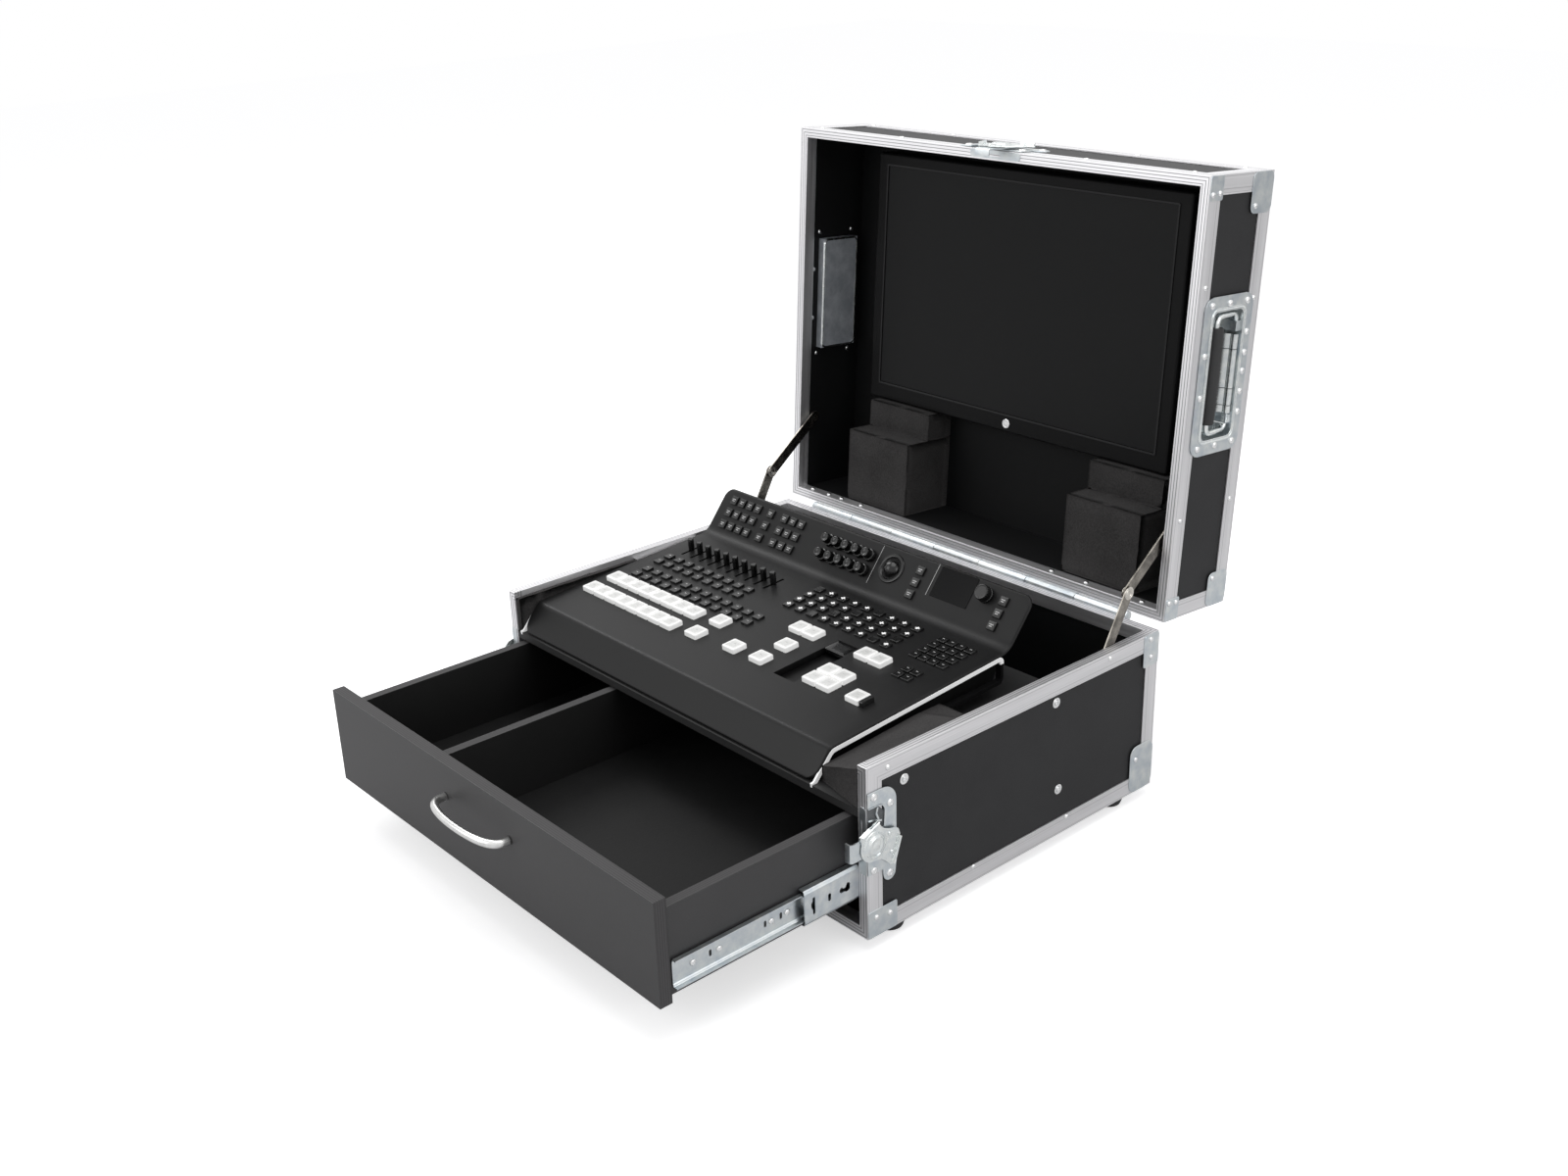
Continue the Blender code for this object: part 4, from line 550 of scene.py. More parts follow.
for side in (-1, 1):
    wall, skin = side * 0.330, side * 0.3282
    for x, spots in ((wall, ((-0.209, 0.196), (0.149, 0.199), (-0.078, 0.020), (0.081, 0.018))),
                     (wall + side * BRACE, ((0.224, 0.199), (0.226, 0.176), (0.207, 0.045), (-0.228, 0.024),
                                            (-0.208, 0.021)))):
        shell_rivets.append(studs(circle(12), DOME, [base(x, y, z) for y, z in spots], Y * side, Z))
    spots = [base(skin, y, z) for y, z in ((-0.184, 0.172), (0.0575, 0.174), (0.066, 0.060))]
    shell_screws.append(studs(circle(18), WASHER, spots, Y * side, Z))
    for y0, y1, z0, z1, corner in ((0.212, 0.2398, 0.164, 0.2058, 0.004), (0.197, 0.2398, 0.0004, 0.063, 0.012),
                                   (-0.2398, -0.197, 0.0004, 0.033, 0.003)):
        shell_braces.append(sheet(rounded(y1 - y0, z1 - z0, corner), base(wall, (y0 + y1) / 2, (z0 + z1) / 2),
                                  Y * side, Z, BRACE))
for x in (-0.300, -0.150, 0.0, 0.150, 0.300):
    shell_rivets.append(studs(circle(12), DOME, [base(x, 0.240, 0.020), base(x, 0.240, 0.188)], -X, Z))
for name, shapes, material in (("base_braces", shell_braces, zinc), ("base_rivets", shell_rivets, rivet_steel),
                               ("base_screws", shell_screws, rivet_steel)):
    fit(piece(name, *gathered(*shapes)), material, "case_base")


# Feet: four soft black rubber bumpers, each a tapered puck with a rolled lower edge, screwed up into the floor.

rubber = board("black_rubber", (0.012, 0.012, 0.012), (0.026, 0.026, 0.027), 0.70, 0.00010, 1500.0)
FOOT = [(0.0190, -0.0003), (0.0190, -0.0024), (0.0186, -0.0034), (0.0161, -0.0114), (0.0152, -0.0131),
        (0.0136, -0.0140), (0.0062, -0.0140), (0.0052, -0.0125), (0.0044, -0.0110)]
for name, x, y in (("front_left", -1, -1), ("front_right", 1, -1), ("rear_left", -1, 1), ("rear_right", 1, 1)):
    foot = piece("rubber_foot_" + name, *studs(circle(40)[::-1], FOOT, [base(x * 0.3075, y * 0.187, 0)], X, Y), 40)
    fit(foot, rubber, "case_base", "foot_" + name)


# Shelf and foam of the base: a painted plywood shelf carries the console over the drawer. A sawn block of
# charcoal packing foam fills the gap right of the console, and a thin sheet of it lines the left wall.

dress("console_shelf", board("painted_plywood", (0.0085, 0.0085, 0.0088), (0.0145, 0.0145, 0.0148), 0.62, 0.00015,
                             420.0))
foam = board("packing_foam", (0.0230, 0.0220, 0.0220), (0.0580, 0.0555, 0.0555), 0.97, 0.0012, 520.0, 0.3)


def sawn_foam(name, corners, step=0.011, edge=0.0012, belly=0.0007):
    """A sawn block of foam between eight corners, in an array by x, y and z. Each face is a grid that goes through
    its corners by parts u and v of both ways, with an extra row close to each edge. The rim is pulled in by a part
    of edge, the rest by belly * (1 - sin(pi u) * sin(pi v)), and all but the rim is roughened."""
    corners = np.asarray(corners, float).reshape(2, 2, 2, 3)
    centre = corners.reshape(-1, 3).mean(axis=0)
    points, faces, start = [], [], 0
    for axis in range(3):
        for side in (0, 1):
            quad = np.take(corners, side, axis=axis)
            spans = (np.linalg.norm(quad[1, 0] - quad[0, 0]), np.linalg.norm(quad[0, 1] - quad[0, 0]))
            ways = []
            for span in spans:
                inner = np.linspace(edge / span, 1 - edge / span, max(int(span / step), 2) + 1)
                ways.append(np.concatenate(([0], inner, [1])))
            u, v = np.meshgrid(*ways, indexing="ij")
            u, v = u[..., None], v[..., None]
            place = (quad[0, 0] * (1 - u) + quad[1, 0] * u) * (1 - v) + (quad[0, 1] * (1 - u) + quad[1, 1] * u) * v
            normal = np.cross(quad[1, 0] - quad[0, 0], quad[0, 1] - quad[0, 0])
            normal = normal / np.linalg.norm(normal)
            out = normal if (quad.reshape(-1, 3).mean(axis=0) - centre) @ normal > 0 else -normal
            rim = ((u == 0) | (u == 1) | (v == 0) | (v == 1))
            place = place - np.where(rim, out * edge * 0.30, 0)
            place = place - out * belly * (1 - np.sin(np.pi * u) * np.sin(np.pi * v)) * np.where(rim, 0, 1)
            rough = np.sin(place[..., :1] * 911) * np.sin(place[..., 1:2] * 1013) * np.sin(place[..., 2:] * 877)
            place = place - np.where(rim, 0, out * 0.00025 * (1 + rough))
            points.append(place.reshape(-1, 3))
            index = np.arange(u.size).reshape(u.shape[:2]) + start
            sides = np.stack((index[:-1, :-1], index[1:, :-1], index[1:, 1:], index[:-1, 1:]), -1).reshape(-1, 4)
            faces += sides.tolist() if out @ normal > 0 else sides[:, ::-1].tolist()
            start += index.size
    made = righted(piece(name, np.concatenate(points), faces, 0), edge * 0.9)
    made.data.shade_smooth()
    made.data.set_sharp_from_angle(angle=math.radians(50))
    return dress(made, foam)


def upright_block(x, y, z):
    """Eight corners of an upright block; z may hold one top height for each side of x."""
    tops = z[1] if isinstance(z[1], tuple) else (z[1], z[1])
    return [[[(x[i], y[j], z[0] if k == 0 else tops[i]) for k in (0, 1)] for j in (0, 1)] for i in (0, 1)]


def based(corners):
    return np.asarray(corners, float) + BASE_ZERO


GAP, FOAM_FOOT = (0.2475, 0.3167), 0.1540
block = based(upright_block(GAP, (-0.2398, -0.0783), (FOAM_FOOT, (0.1820, 0.2006))))
block[0, 0] = base(GAP[0], -0.2258, FOAM_FOOT), base(GAP[0], -0.2258, 0.1720)
block = sawn_foam("base_foam_right", block)
toe = sawn_foam("base_foam_right_toe", based(upright_block(GAP, (-0.0786, -0.0462), (FOAM_FOOT, 0.1815))))
thin = sawn_foam("base_foam_left", based(upright_block((-0.3188, -0.3096), (-0.2380, -0.0500), (FOAM_FOOT, 0.1990))))
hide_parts("base_foam_block")
for made in (block, toe, thin):
    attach(made, "case_base")


# Drawer: boards of black-laminated plywood screwed into a box, with its cut edges left showing their plies.
# The front board hides the box's ends. A bent steel bow in satin nickel is screwed to it from behind.

PLY = 0.0014


def ply_board(name, low, high, thin_axis, edge_lift=1.0, inner=0):
    """Laminate whose cut edges, away from both broad faces, show stained plies as stripes. The face on the inner
    side, -1 or 1, is painted near black as painted shade inside the drawer, and with 0 both faces are."""
    made, tree, shader = finish(name)
    place = own_place(tree)
    middle, half = (low + high) / 2, (high - low) / 2
    aside = maths(tree, "SUBTRACT", node(tree, "ShaderNodeSeparateXYZ", {0: place}).outputs[thin_axis], middle)
    off = maths(tree, "ABSOLUTE", aside)
    edge = ramp(tree, off, half - 0.0011, half - 0.0006, falling=True)
    plies = ramp(tree, maths(tree, "PINGPONG", off, PLY), 0.0002, 0.0012)
    marks = use(tree, grain, {"Vector": place, "Threads": 700.0, "Clouds": 7.0})
    tone = ramp(tree, marks.outputs["Tone"], 0.35, 0.65)
    face = blend(tree, tone, (0.0200, 0.0196, 0.0204), (0.0320, 0.0312, 0.0325))
    # Near black for the faces inside the drawer: painted shade.
    inner_shade = blend(tree, tone, (0.0030, 0.0030, 0.0031), (0.0060, 0.0060, 0.0062))
    if inner:
        way = maths(tree, "MULTIPLY", aside, float(inner))
        face = blend(tree, ramp(tree, way, 0.0, half * 0.5), face, inner_shade)
    else:
        face = inner_shade
    glue, veneer = edge_lift * np.array(((0.048, 0.046, 0.048), (0.082, 0.079, 0.082)))
    stripe = blend(tree, plies, tuple(glue), tuple(veneer))
    tree.links.new(blend(tree, edge, face, stripe), shader.inputs["Base Color"])
    rough = maths(tree, "MULTIPLY_ADD", edge, 0.22, maths(tree, "MULTIPLY_ADD", marks.outputs["Tone"], 0.16, 0.42))
    tree.links.new(rough, shader.inputs["Roughness"])
    height = maths(tree, "MULTIPLY_ADD", maths(tree, "MULTIPLY", edge, plies), 0.5, marks.outputs["Height"])
    relief(tree, shader, height, 0.00016)
    return made


for name, axis, lift, inner in (("drawer_front", 1, 0.60, 1), ("drawer_side_left", 0, 0.55, 1),
                                ("drawer_side_right", 0, 0.55, -1), ("drawer_back", 1, 0.4, -1),
                                ("drawer_divider", 0, 0.5, 0)):
    low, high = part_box(name)
    eased(name, 0.0004, ply_board(name + "_board", low[axis], high[axis], axis, lift, inner))
dress("drawer_bottom", board("drawer_lining", (0.0040, 0.0040, 0.0042), (0.0080, 0.0080, 0.0082), 0.62, 0.0003,
                             300.0, 0.22))

satin_nickel = plated("satin_nickel", (0.60, 0.60, 0.59), (0.74, 0.74, 0.73), 0.30, 90.0)


def tubing(path, radius, sides=16):
    """A round bar along a path: rings of points in planes turned from each to the next with least twist. radius
    may be one number or one for each point of the path."""
    path = np.asarray(path, float)
    radius = np.broadcast_to(np.asarray(radius, float), (len(path),))
    run = np.gradient(path, axis=0)
    run /= np.linalg.norm(run, axis=1, keepdims=True)
    normal = np.cross(run[0], X if abs(run[0] @ X) < 0.9 else Y)
    ring, rings = circle(sides), []
    for i, direction in enumerate(run):
        normal = normal - direction * (normal @ direction)
        normal /= np.linalg.norm(normal)
        other = np.cross(direction, normal)
        rings.append(path[i] + radius[i] * (ring[:, :1] * normal + ring[:, 1:] * other))
    return np.concatenate(rings), ring_faces(sides, len(path))


low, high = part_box("drawer_pull")
turn = np.linspace(0, np.pi, 33)
bow = np.stack((-0.064 * np.cos(turn), high[1] - 0.0005 - 0.0267 * np.sin(turn) ** 0.55,
                np.full(33, (low[2] + high[2]) / 2)), axis=1)
pull = piece("drawer_pull_bow", *tubing(bow, 0.0046 + 0.0002 * np.cos(turn * 2), 20), 50)
fit(pull, satin_nickel, "drawer", "drawer_pull")


# Slides: three nested steel channels a side, zinc plated, running on balls in black cages. Screws and slots
# show in the inner member, and stamped openings in the middle one.

def oval(width, height, x=0.0, y=0.0, steps=5):
    """Outline of a slot with round ends, about a point."""
    return rounded(width, height, min(width, height) / 2 - 0.00001, steps) + (x, y)


SHEET = 0.0012


def rail(web, side, front, back, middle, height, depth, toward, openings):
    """One channel of a slide: a pierced web, and above and below it a flange bent over the balls. The flange is a
    strip about a centre line, web edge, small step, round shoulder, lip, carried straight along the slide."""
    flat = height / 2 - 0.0050
    length = back - front
    holes = [(hole - ((front + back) / 2, middle)) * (side, 1) for hole in openings]
    start = web if toward == side else web - side * SHEET
    origin = np.array((start, (front + back) / 2, middle))
    shapes = [pierced([rounded(length, 2 * flat, 0.0008, 3)] + holes, SHEET, origin, Y * side, Z)]
    reach = 0.0050 - SHEET / 2
    flange = thick([(0, 0), (0, 0.0010), (0.0007, 0.0018), (0.0009, 0.0031), (0.0018, 0.0044), (0.0032, reach),
                    (depth, reach)], SHEET)
    centre = start + side * SHEET / 2
    for way in (-1, 1):
        ring = np.stack((centre + toward * flange[:, 0], middle + way * (flat + flange[:, 1])), axis=1)
        ring = ring if toward * way < 0 else ring[::-1]
        shapes.append(studs(ring, [(1, 0), (1, length)], [(0, front, 0)], X, Z, Y))
    return gathered(*shapes)


dark = board("ball_cage", (0.004, 0.004, 0.004), (0.009, 0.009, 0.009), 0.5, 0.00005)
PAN_HEAD = [(0.0037, 0.0), (0.0037, 0.0004), (0.0033, 0.0012), (0.0024, 0.0017), (0.0018, 0.0018), (0.0015, 0.0012)]
KEYHOLE = np.array(((-0.0035, -0.001), (-0.0035, 0.003), (-0.0016, 0.0055), (-0.0012, 0.0095), (0.0022, 0.0095),
                    (0.0022, -0.0105), (-0.0010, -0.0105), (-0.0014, -0.0050)))[::-1]
TWIN_HOLE = np.array(((-0.0072, -0.002), (-0.0072, 0.0012), (-0.0045, 0.0028), (-0.0020, 0.0006), (0.0008, 0.0006),
                      (0.0030, 0.0052), (0.0058, 0.0052), (0.0072, 0.0028), (0.0072, -0.0030), (0.0050, -0.0048),
                      (0.0015, -0.0048), (-0.0010, -0.0034), (-0.0048, -0.0040)))[::-1]
zero = BASE_ZERO[1]
for side, name in ((-1, "left"), (1, "right")):
    low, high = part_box("slide_inner_" + name)
    middle = (low[2] + high[2]) / 2
    slots = [oval(0.0034, 0.0075, zero + y, middle + 0.001) for y in (-0.433, -0.362, -0.341, -0.200)]
    inner = piece("slide_member_inner_" + name, *rail(side * 0.3075, side, low[1], high[1], middle, 0.033, 0.0066,
                                                      side, slots))
    heads = [np.array((side * 0.3088, zero + y, middle + z)) for y, z in
             ((-0.455, 0.001), (-0.422, 0.001), (-0.354, 0.001), (-0.333, 0.002))]
    heads = piece("slide_screws_" + name, *studs(circle(14), PAN_HEAD, heads, Y * side, Z))
    low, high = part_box("slide_middle_" + name)
    middle = (low[2] + high[2]) / 2
    slots = [KEYHOLE + (zero - 0.3035, middle), oval(0.0040, 0.0090, zero - 0.2815, middle),
             TWIN_HOLE + (zero - 0.2600, middle + 0.001), oval(0.0040, 0.0090, zero - 0.10, middle)]
    wide = piece("slide_member_middle_" + name, *rail(side * 0.3171, side, low[1], high[1], middle, 0.042, 0.0080,
                                                      -side, slots))
    cage = [np.array((side * 0.3124, low[1] + 0.0012, middle + way * 0.0158)) for way in (-1, 1)]
    cage = piece("slide_ball_cage_" + name, *studs(rounded(0.0058, 0.0046, 0.0008)[::-1], [(1, 0), (1, 0.060)], cage,
                                                   X, Z, Y))
    fit(inner, zinc, "drawer", "slide_inner_" + name)
    fit(heads, rivet_steel, "drawer")
    fit(wide, zinc, "slide_middle_" + name, "slide_middle_" + name)
    fit(cage, dark, "slide_middle_" + name)
    eased("slide_outer_" + name, 0.0003, zinc)


# Hinge: a piano hinge of plated steel between the two rims at the back, its leaves screwed inside them.

for name in ("hinge_base_leaf", "hinge_lid_leaf"):
    eased(name, 0.0002, zinc)


# Lid shell: four walls and a top panel of the same laminated plywood in U and L sections. The lid frame lies
# with the axis at zero, y from the hinge to the front below zero, and z from the rim to the top panel.

LID_TILT = math.radians(-94.0)
LID_AXIS = (0.0, 0.311923, 0.220)
LID_FRAME = (LID_AXIS, (LID_TILT, 0, 0))
LID_FRONT, LID_REAR, LID_FOOT, LID_TOP = -0.5225, -0.0065, 0.0005, 0.1205
lid_turn = np.array(Matrix.Rotation(LID_TILT, 3, "X"))
LX, LY, LZ = lid_turn.T


def lid(x, y, z):
    """A place in the lid frame, in the row's frame."""
    return lid_turn @ np.array((x, y, z)) + LID_AXIS


lid_section = section_finish("lid_aluminium_section", (-0.330, LID_FRONT, LID_FOOT), (0.330, LID_REAR, LID_TOP),
                             LID_FRAME)
for name in ("lid_rim", "lid_edge_angles"):
    eased(name, 0.0006, lid_section)
# The lid's laminate is painted near black inside as well: painted shade.
lid_laminate = laminate_with_inner_shade("lid_black_laminate", (-0.330, LID_FRONT, -0.30), (0.330, LID_REAR, LID_TOP), LID_FRAME)
for name in ("lid_walls", "lid_top_panel"):
    dress(name, lid_laminate)

lid_rivets, lid_braces = [], []
for side in (-1, 1):
    wall = side * 0.330
    for y0, y1, z0, z1, corner in ((-0.5222, -0.4760, 0.0810, 0.1203, 0.008), (-0.0500, -0.0068, 0.0820, 0.1203, 0.008),
                                   (-0.0350, -0.0068, 0.0012, 0.0260, 0.003),
                                   (-0.5222, -0.4950, 0.0012, 0.0250, 0.002)):
        lid_braces.append(sheet(rounded(y1 - y0, z1 - z0, corner), lid(wall, (y0 + y1) / 2, (z0 + z1) / 2),
                                side * LY, LZ, BRACE))
    for x, spots in ((wall + side * BRACE, ((-0.4845, 0.0890), (-0.0430, 0.0900), (-0.0295, 0.0065),
                                            (-0.0285, 0.0195), (-0.5015, 0.0062), (-0.5025, 0.0190))),
                     (wall, ((-0.140, 0.108), (-0.380, 0.108), (-0.130, 0.012), (-0.400, 0.012)))):
        lid_rivets.append(studs(circle(12), DOME, [lid(x, y, z) for y, z in spots], side * LY, LZ))
front = [lid(x, LID_FRONT, z) for x in (-0.30, -0.15, 0.15, 0.30) for z in (0.012, 0.108)]
inside = [lid(x, -0.0192, 0.010) for x in (-0.296, -0.262, -0.236, -0.196, 0.150, 0.205, 0.290)]
lid_rivets += [studs(circle(12), DOME, places, LX, LZ) for places in (front, inside)]
fit(piece("lid_corner_plates", *gathered(*lid_braces)), zinc, "lid")
fit(piece("lid_rivets", *gathered(*lid_rivets)), rivet_steel, "lid")


# Lid handles: a pressed dish riveted into each side wall, and a wire bail with a rubber grip that folds into
# it and is held down by a spring in its hinge knuckles.

PLATE_MIDDLE = (-0.2965, 0.0605)
HEAD = [(0.0042, 0.0), (0.0042, 0.0003), (0.0038, 0.0013), (0.0029, 0.0020), (0.0016, 0.0024), (0.0006, 0.00245)]
for side, name in ((-1, "left"), (1, "right")):
    # The left dish takes the painted-shade copy of the zinc; the right one the plain zinc.
    eased("lid_handle_dish_" + name, 0.0007, zinc if name == "right" else shaded_zinc)
    turned = side * LY
    middle_y, middle_z = PLATE_MIDDLE

    def local(a, b, x):
        """A place from the plate's middle: along the lid, up from its rim, and across the case."""
        return lid(side * x, middle_y + a, middle_z + b)

    spots = [(a, b) for a in (-0.0825, 0.0825) for b in (-0.0335, 0.0, 0.0335)] + [(-0.026, -0.0385), (0.022, -0.0385)]
    spots += [(a, 0.0385) for a in (-0.046, -0.022, 0.0, 0.024, 0.048)]
    studded = studs(circle(14), HEAD, [local(a, b, 0.3318) for a, b in spots], turned, LZ)
    within = [(a, b) for a in (-0.085, 0.085) for b in (-0.030, 0.030)] + [(a, -0.040) for a in (-0.034, 0.034)]
    within += [(a, 0.040) for a in (-0.060, -0.024, -0.004, 0.012, 0.034)]
    within = studs(circle(12), DOME, [local(a, b, 0.3202) for a, b in within], -turned, LZ)
    fit(piece("handle_rivets_" + name, *gathered(studded, within)), rivet_steel, "lid")
    pressed = [rounded(0.1580, 0.0680, 0.0120, 8), rounded(0.1480, 0.0580, 0.0080, 8)[::-1]]
    trim = [pierced(pressed, 0.0010, local(0, 0, 0.3316), turned, LZ, 0.0004)]
    for loop, x, thickness in ((rounded(0.1535, 0.0635, 0.0085, 10), 0.3322, 0.0010),
                               (rounded(0.1500, 0.0600, 0.0060, 8), 0.3090, 0.0018)):
        trim.append(tubing([local(a, b, x) for a, b in np.concatenate((loop, loop[:1]))], thickness, 8))
    trim.append(sheet(rounded(0.108, 0.0150, 0.0020), local(0.002, 0.0150, 0.3106), turned, LZ, 0.0012))
    trim.append(tubing([local(a, 0.0085, 0.3118) for a in (-0.050, 0.054)], 0.0009, 8))
    for low_end, high_end in ((-0.0440, -0.0270), (-0.0262, 0.0190), (0.0198, 0.0390), (0.0398, 0.0480)):
        trim.append(tubing([local(a, 0.0245, 0.3262) for a in (low_end, high_end)], 0.0046, 16))
        curl = thick([(0.0245, 0.3258), (0.0205, 0.3215), (0.0165, 0.3160), (0.0150, 0.3118)], 0.0014)
        corners = np.array([local(0, b, x) - local(0, 0, 0) for b, x in curl])
        ends = [corners + local(low_end, 0, 0), corners + local(high_end, 0, 0)]
        trim.append((np.concatenate(ends), ring_faces(len(curl), 2)))
    turns = np.linspace(0, 2 * np.pi * 6, 97)
    coil = [local(0.0500 + 0.0090 * t / turns[-1], 0.0245 + 0.0052 * math.cos(t), 0.3262 + 0.0052 * math.sin(t))
            for t in turns]
    trim.append(tubing(coil, 0.0007, 6))
    trim.append(tubing([local(0.0590, 0.0290, 0.3270), local(0.0600, 0.0200, 0.3290), local(0.0560, 0.0040, 0.3230)],
                       0.0008, 6))
    fit(righted(piece("handle_hinge_" + name, *gathered(*trim), 40)), wing_zinc, "lid")
    turn = np.linspace(0, np.pi / 2, 8)
    half, bend, up, down = 0.0680, 0.0080, 0.0245, -0.0160
    path = [(-0.0480, up, 0.3248), (-half + bend, up, 0.3248)]
    path += [(-half + bend - bend * math.sin(a), up - bend + bend * math.cos(a), 0.3248) for a in turn[1:]]
    path += [(-half + bend - bend * math.cos(a), down + bend - bend * math.sin(a), 0.3278) for a in turn]
    path += [(-a, b, x) for a, b, x in path[::-1]]
    wire = piece("handle_wire_" + name, *tubing([local(*place) for place in path], 0.0036, 14), 50)
    along = np.linspace(-0.0556, 0.0556, 61)
    swell = 0.0093 - 0.0010 * (np.abs(along) / 0.0556) ** 14 + 0.0001 * np.cos(along * 2100)
    grip = piece("handle_grip_" + name, *tubing([local(a, down, 0.3278) for a in along], swell, 28), 50)
    fit(wire, wing_zinc, "lid_handle_bail_" + name, "lid_handle_bail_" + name)
    fit(grip, rubber, "lid_handle_bail_" + name)


# Monitor: a 22-inch flat screen in a matt black moulded bezel, screwed to the lid. Its glass is anti-glare,
# and a plain round button sits in the middle of its lower bezel.

def clouded(name, low, high, scale, detail=2.0, **values):
    """A finish that drifts between two tones: its material, node tree, shader and drift."""
    made, tree, shader = finish(name, **values)
    haze = noise(tree, own_place(tree), scale, detail)
    tree.links.new(blend(tree, haze, low, high), shader.inputs["Base Color"])
    return made, tree, shader, haze


bezel = board("monitor_bezel", (0.0050, 0.0050, 0.0052), (0.0075, 0.0075, 0.0078), 0.42, 0.00006, 1800.0, 0.10)
eased("monitor_housing", 0.0010, bezel)
glare, tree, shader, haze = clouded("screen_glass", (0.0075, 0.0077, 0.0080), (0.0112, 0.0114, 0.0118), 5.0, 3.0,
                                    Roughness=0.34, Specular_IOR_Level=0.13)
relief(tree, shader, noise(tree, own_place(tree), 2600.0), 0.00002, 0.3)
SCREEN_MIDDLE = LID_REAR - 0.1735 - 0.148
glass = piece("screen", *sheet(rounded(0.4736, 0.2956, 0.001), lid(0, SCREEN_MIDDLE, 0.0792), LX, -LY, 0.0004))
lip = [rounded(0.4790, 0.3010, 0.0020), rounded(0.4742, 0.2962, 0.0010)[::-1]]
lip = piece("screen_lip", *pierced(lip, 0.0006, lid(0, SCREEN_MIDDLE, 0.0780), LX, -LY))
lip_sheen = board("lip_sheen", (0.010, 0.010, 0.0105), (0.015, 0.015, 0.0155), 0.25, 0.00003, 900.0, 0.25)
BUTTON = [(0.0062, 0.0), (0.0062, 0.0006), (0.0058, 0.0010), (0.0046, 0.0010), (0.0043, 0.0007), (0.0020, 0.0008)]
button = piece("screen_button", *studs(circle(24), BUTTON, [lid(0.0, LID_REAR - 0.1610, 0.0781)], LX, -LY))
for made, material in ((glass, glare), (lip, lip_sheen), (button, rivet_steel)):
    fit(made, material, "lid")


# Foam of the lid: two stepped blocks of the same packing foam, glued to the wall next to the hinge below the
# monitor, that press on the console's raised panel when the lid is shut.

def in_lid(corners):
    return np.asarray(corners, float) @ lid_turn.T + LID_AXIS


for name, x0, x1 in (("left", -0.240, -0.126), ("right", 0.152, 0.266)):
    big = sawn_foam("lid_foam_block_" + name, in_lid(upright_block((x0, x1), (-0.1184, -0.0178), (0.0250, 0.1090))))
    step = sawn_foam("lid_foam_step_" + name, in_lid(upright_block((x0, x1), (-0.1550, -0.1182), (0.0642, 0.1090))))
    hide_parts("lid_foam_" + name)
    for made in (big, step):
        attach(made, "lid")


# Stays: two flat nickel-plated bars a side, riveted together at the elbow and pivoting on shouldered screws.

nickel = plated("warm_nickel", (0.13, 0.122, 0.108), (0.30, 0.28, 0.25), 0.26, 70.0)
bright_nickel = plated("bright_nickel", (0.46, 0.44, 0.40), (0.70, 0.67, 0.62), 0.22, 160.0)
BOSS = [(0.0080, -0.0003), (0.0080, 0.0002), (0.0077, 0.0004), (0.0064, 0.0004), (0.0060, 0.0001), (0.0054, 0.0001),
        (0.0050, 0.0004), (0.0036, 0.0004), (0.0032, 0.0001), (0.0026, 0.0003), (0.0012, 0.0004)]
ELBOW = (0.261316, 0.276030)
for side, way in (("left", -1), ("right", 1)):
    for name in ("stay_lower_" + side, "stay_upper_" + side):
        eased(name, 0.0004, nickel)
        face, out = (way * 0.3169, way) if "lower" in name else (way * 0.3124, -way)
        disc = piece(name + "_boss", *studs(circle(32), BOSS, [(face, *ELBOW)], Y * out, Z), 30)
        fit(disc, bright_nickel, name)


# Latches: butterfly latches. A plate is riveted over the section, a hook slides under the wing, and the wing
# turns on an axle and folds flat.

DISC = [(0.0166, 0.0045), (0.0166, 0.0062), (0.0158, 0.0067), (0.0122, 0.0068), (0.0112, 0.0071), (0.0104, 0.0083),
        (0.0096, 0.0090), (0.0080, 0.0091), (0.0070, 0.0087), (0.0046, 0.0086), (0.0040, 0.0089), (0.0015, 0.0090)]
FLAT_HEAD = [(0.0046, 0.0), (0.0046, 0.0003), (0.0042, 0.0011), (0.0033, 0.0016), (0.0018, 0.0018), (0.0015, 0.0012)]
AXLE = -0.006
EAR = (-0.0311, 0.0455)
plate_line = np.concatenate((
    [(-0.0002, -0.0140), (-0.0002, 0.0378), (-0.0213, 0.0378)], arc(EAR, 0.0086, 0, 180, 14), [(-0.0413, 0.0335)],
    arc((-0.0215, -0.0394), 0.0198, 180, 270, 12), [(-0.0002, -0.0592), (-0.0002, -0.0425)],
    arc((-0.0150, -0.0327), 0.0098, 270, 180, 8), [(-0.0236, -0.0140)]))
wing_line = np.concatenate((arc((AXLE, 0), 0.0196, 65, -20, 14), [(0.0149, -0.0170), (-0.0108, -0.0276),
                            (-0.0140, -0.0205), (-0.0185, -0.0150), (-0.0280, -0.0105), (-0.0368, -0.0084),
                            (-0.0402, -0.0060), (-0.0426, 0.0012), (-0.0316, 0.0335), (-0.0275, 0.0326),
                            (-0.0235, 0.0275), (-0.0150, 0.0205)]))
# A dark grey sheet laid in the hollow of each latch plate under its ledge: painted shadow, not a part of the latch.
shadow = board("latch_painted_shadow", (0.055, 0.060, 0.066), (0.110, 0.116, 0.122), 0.42, 0.0002, 300.0)
FRAMES = (("base_latch_right", "case_base", base(0.330, -0.240, 0.117), -Y, -Z),
          ("base_latch_left", "case_base", base(-0.330, -0.240, 0.117), -Y, Z),
          ("lid_latch", "lid", lid(0.022, -0.5225, 0.0005), -LZ, LX))
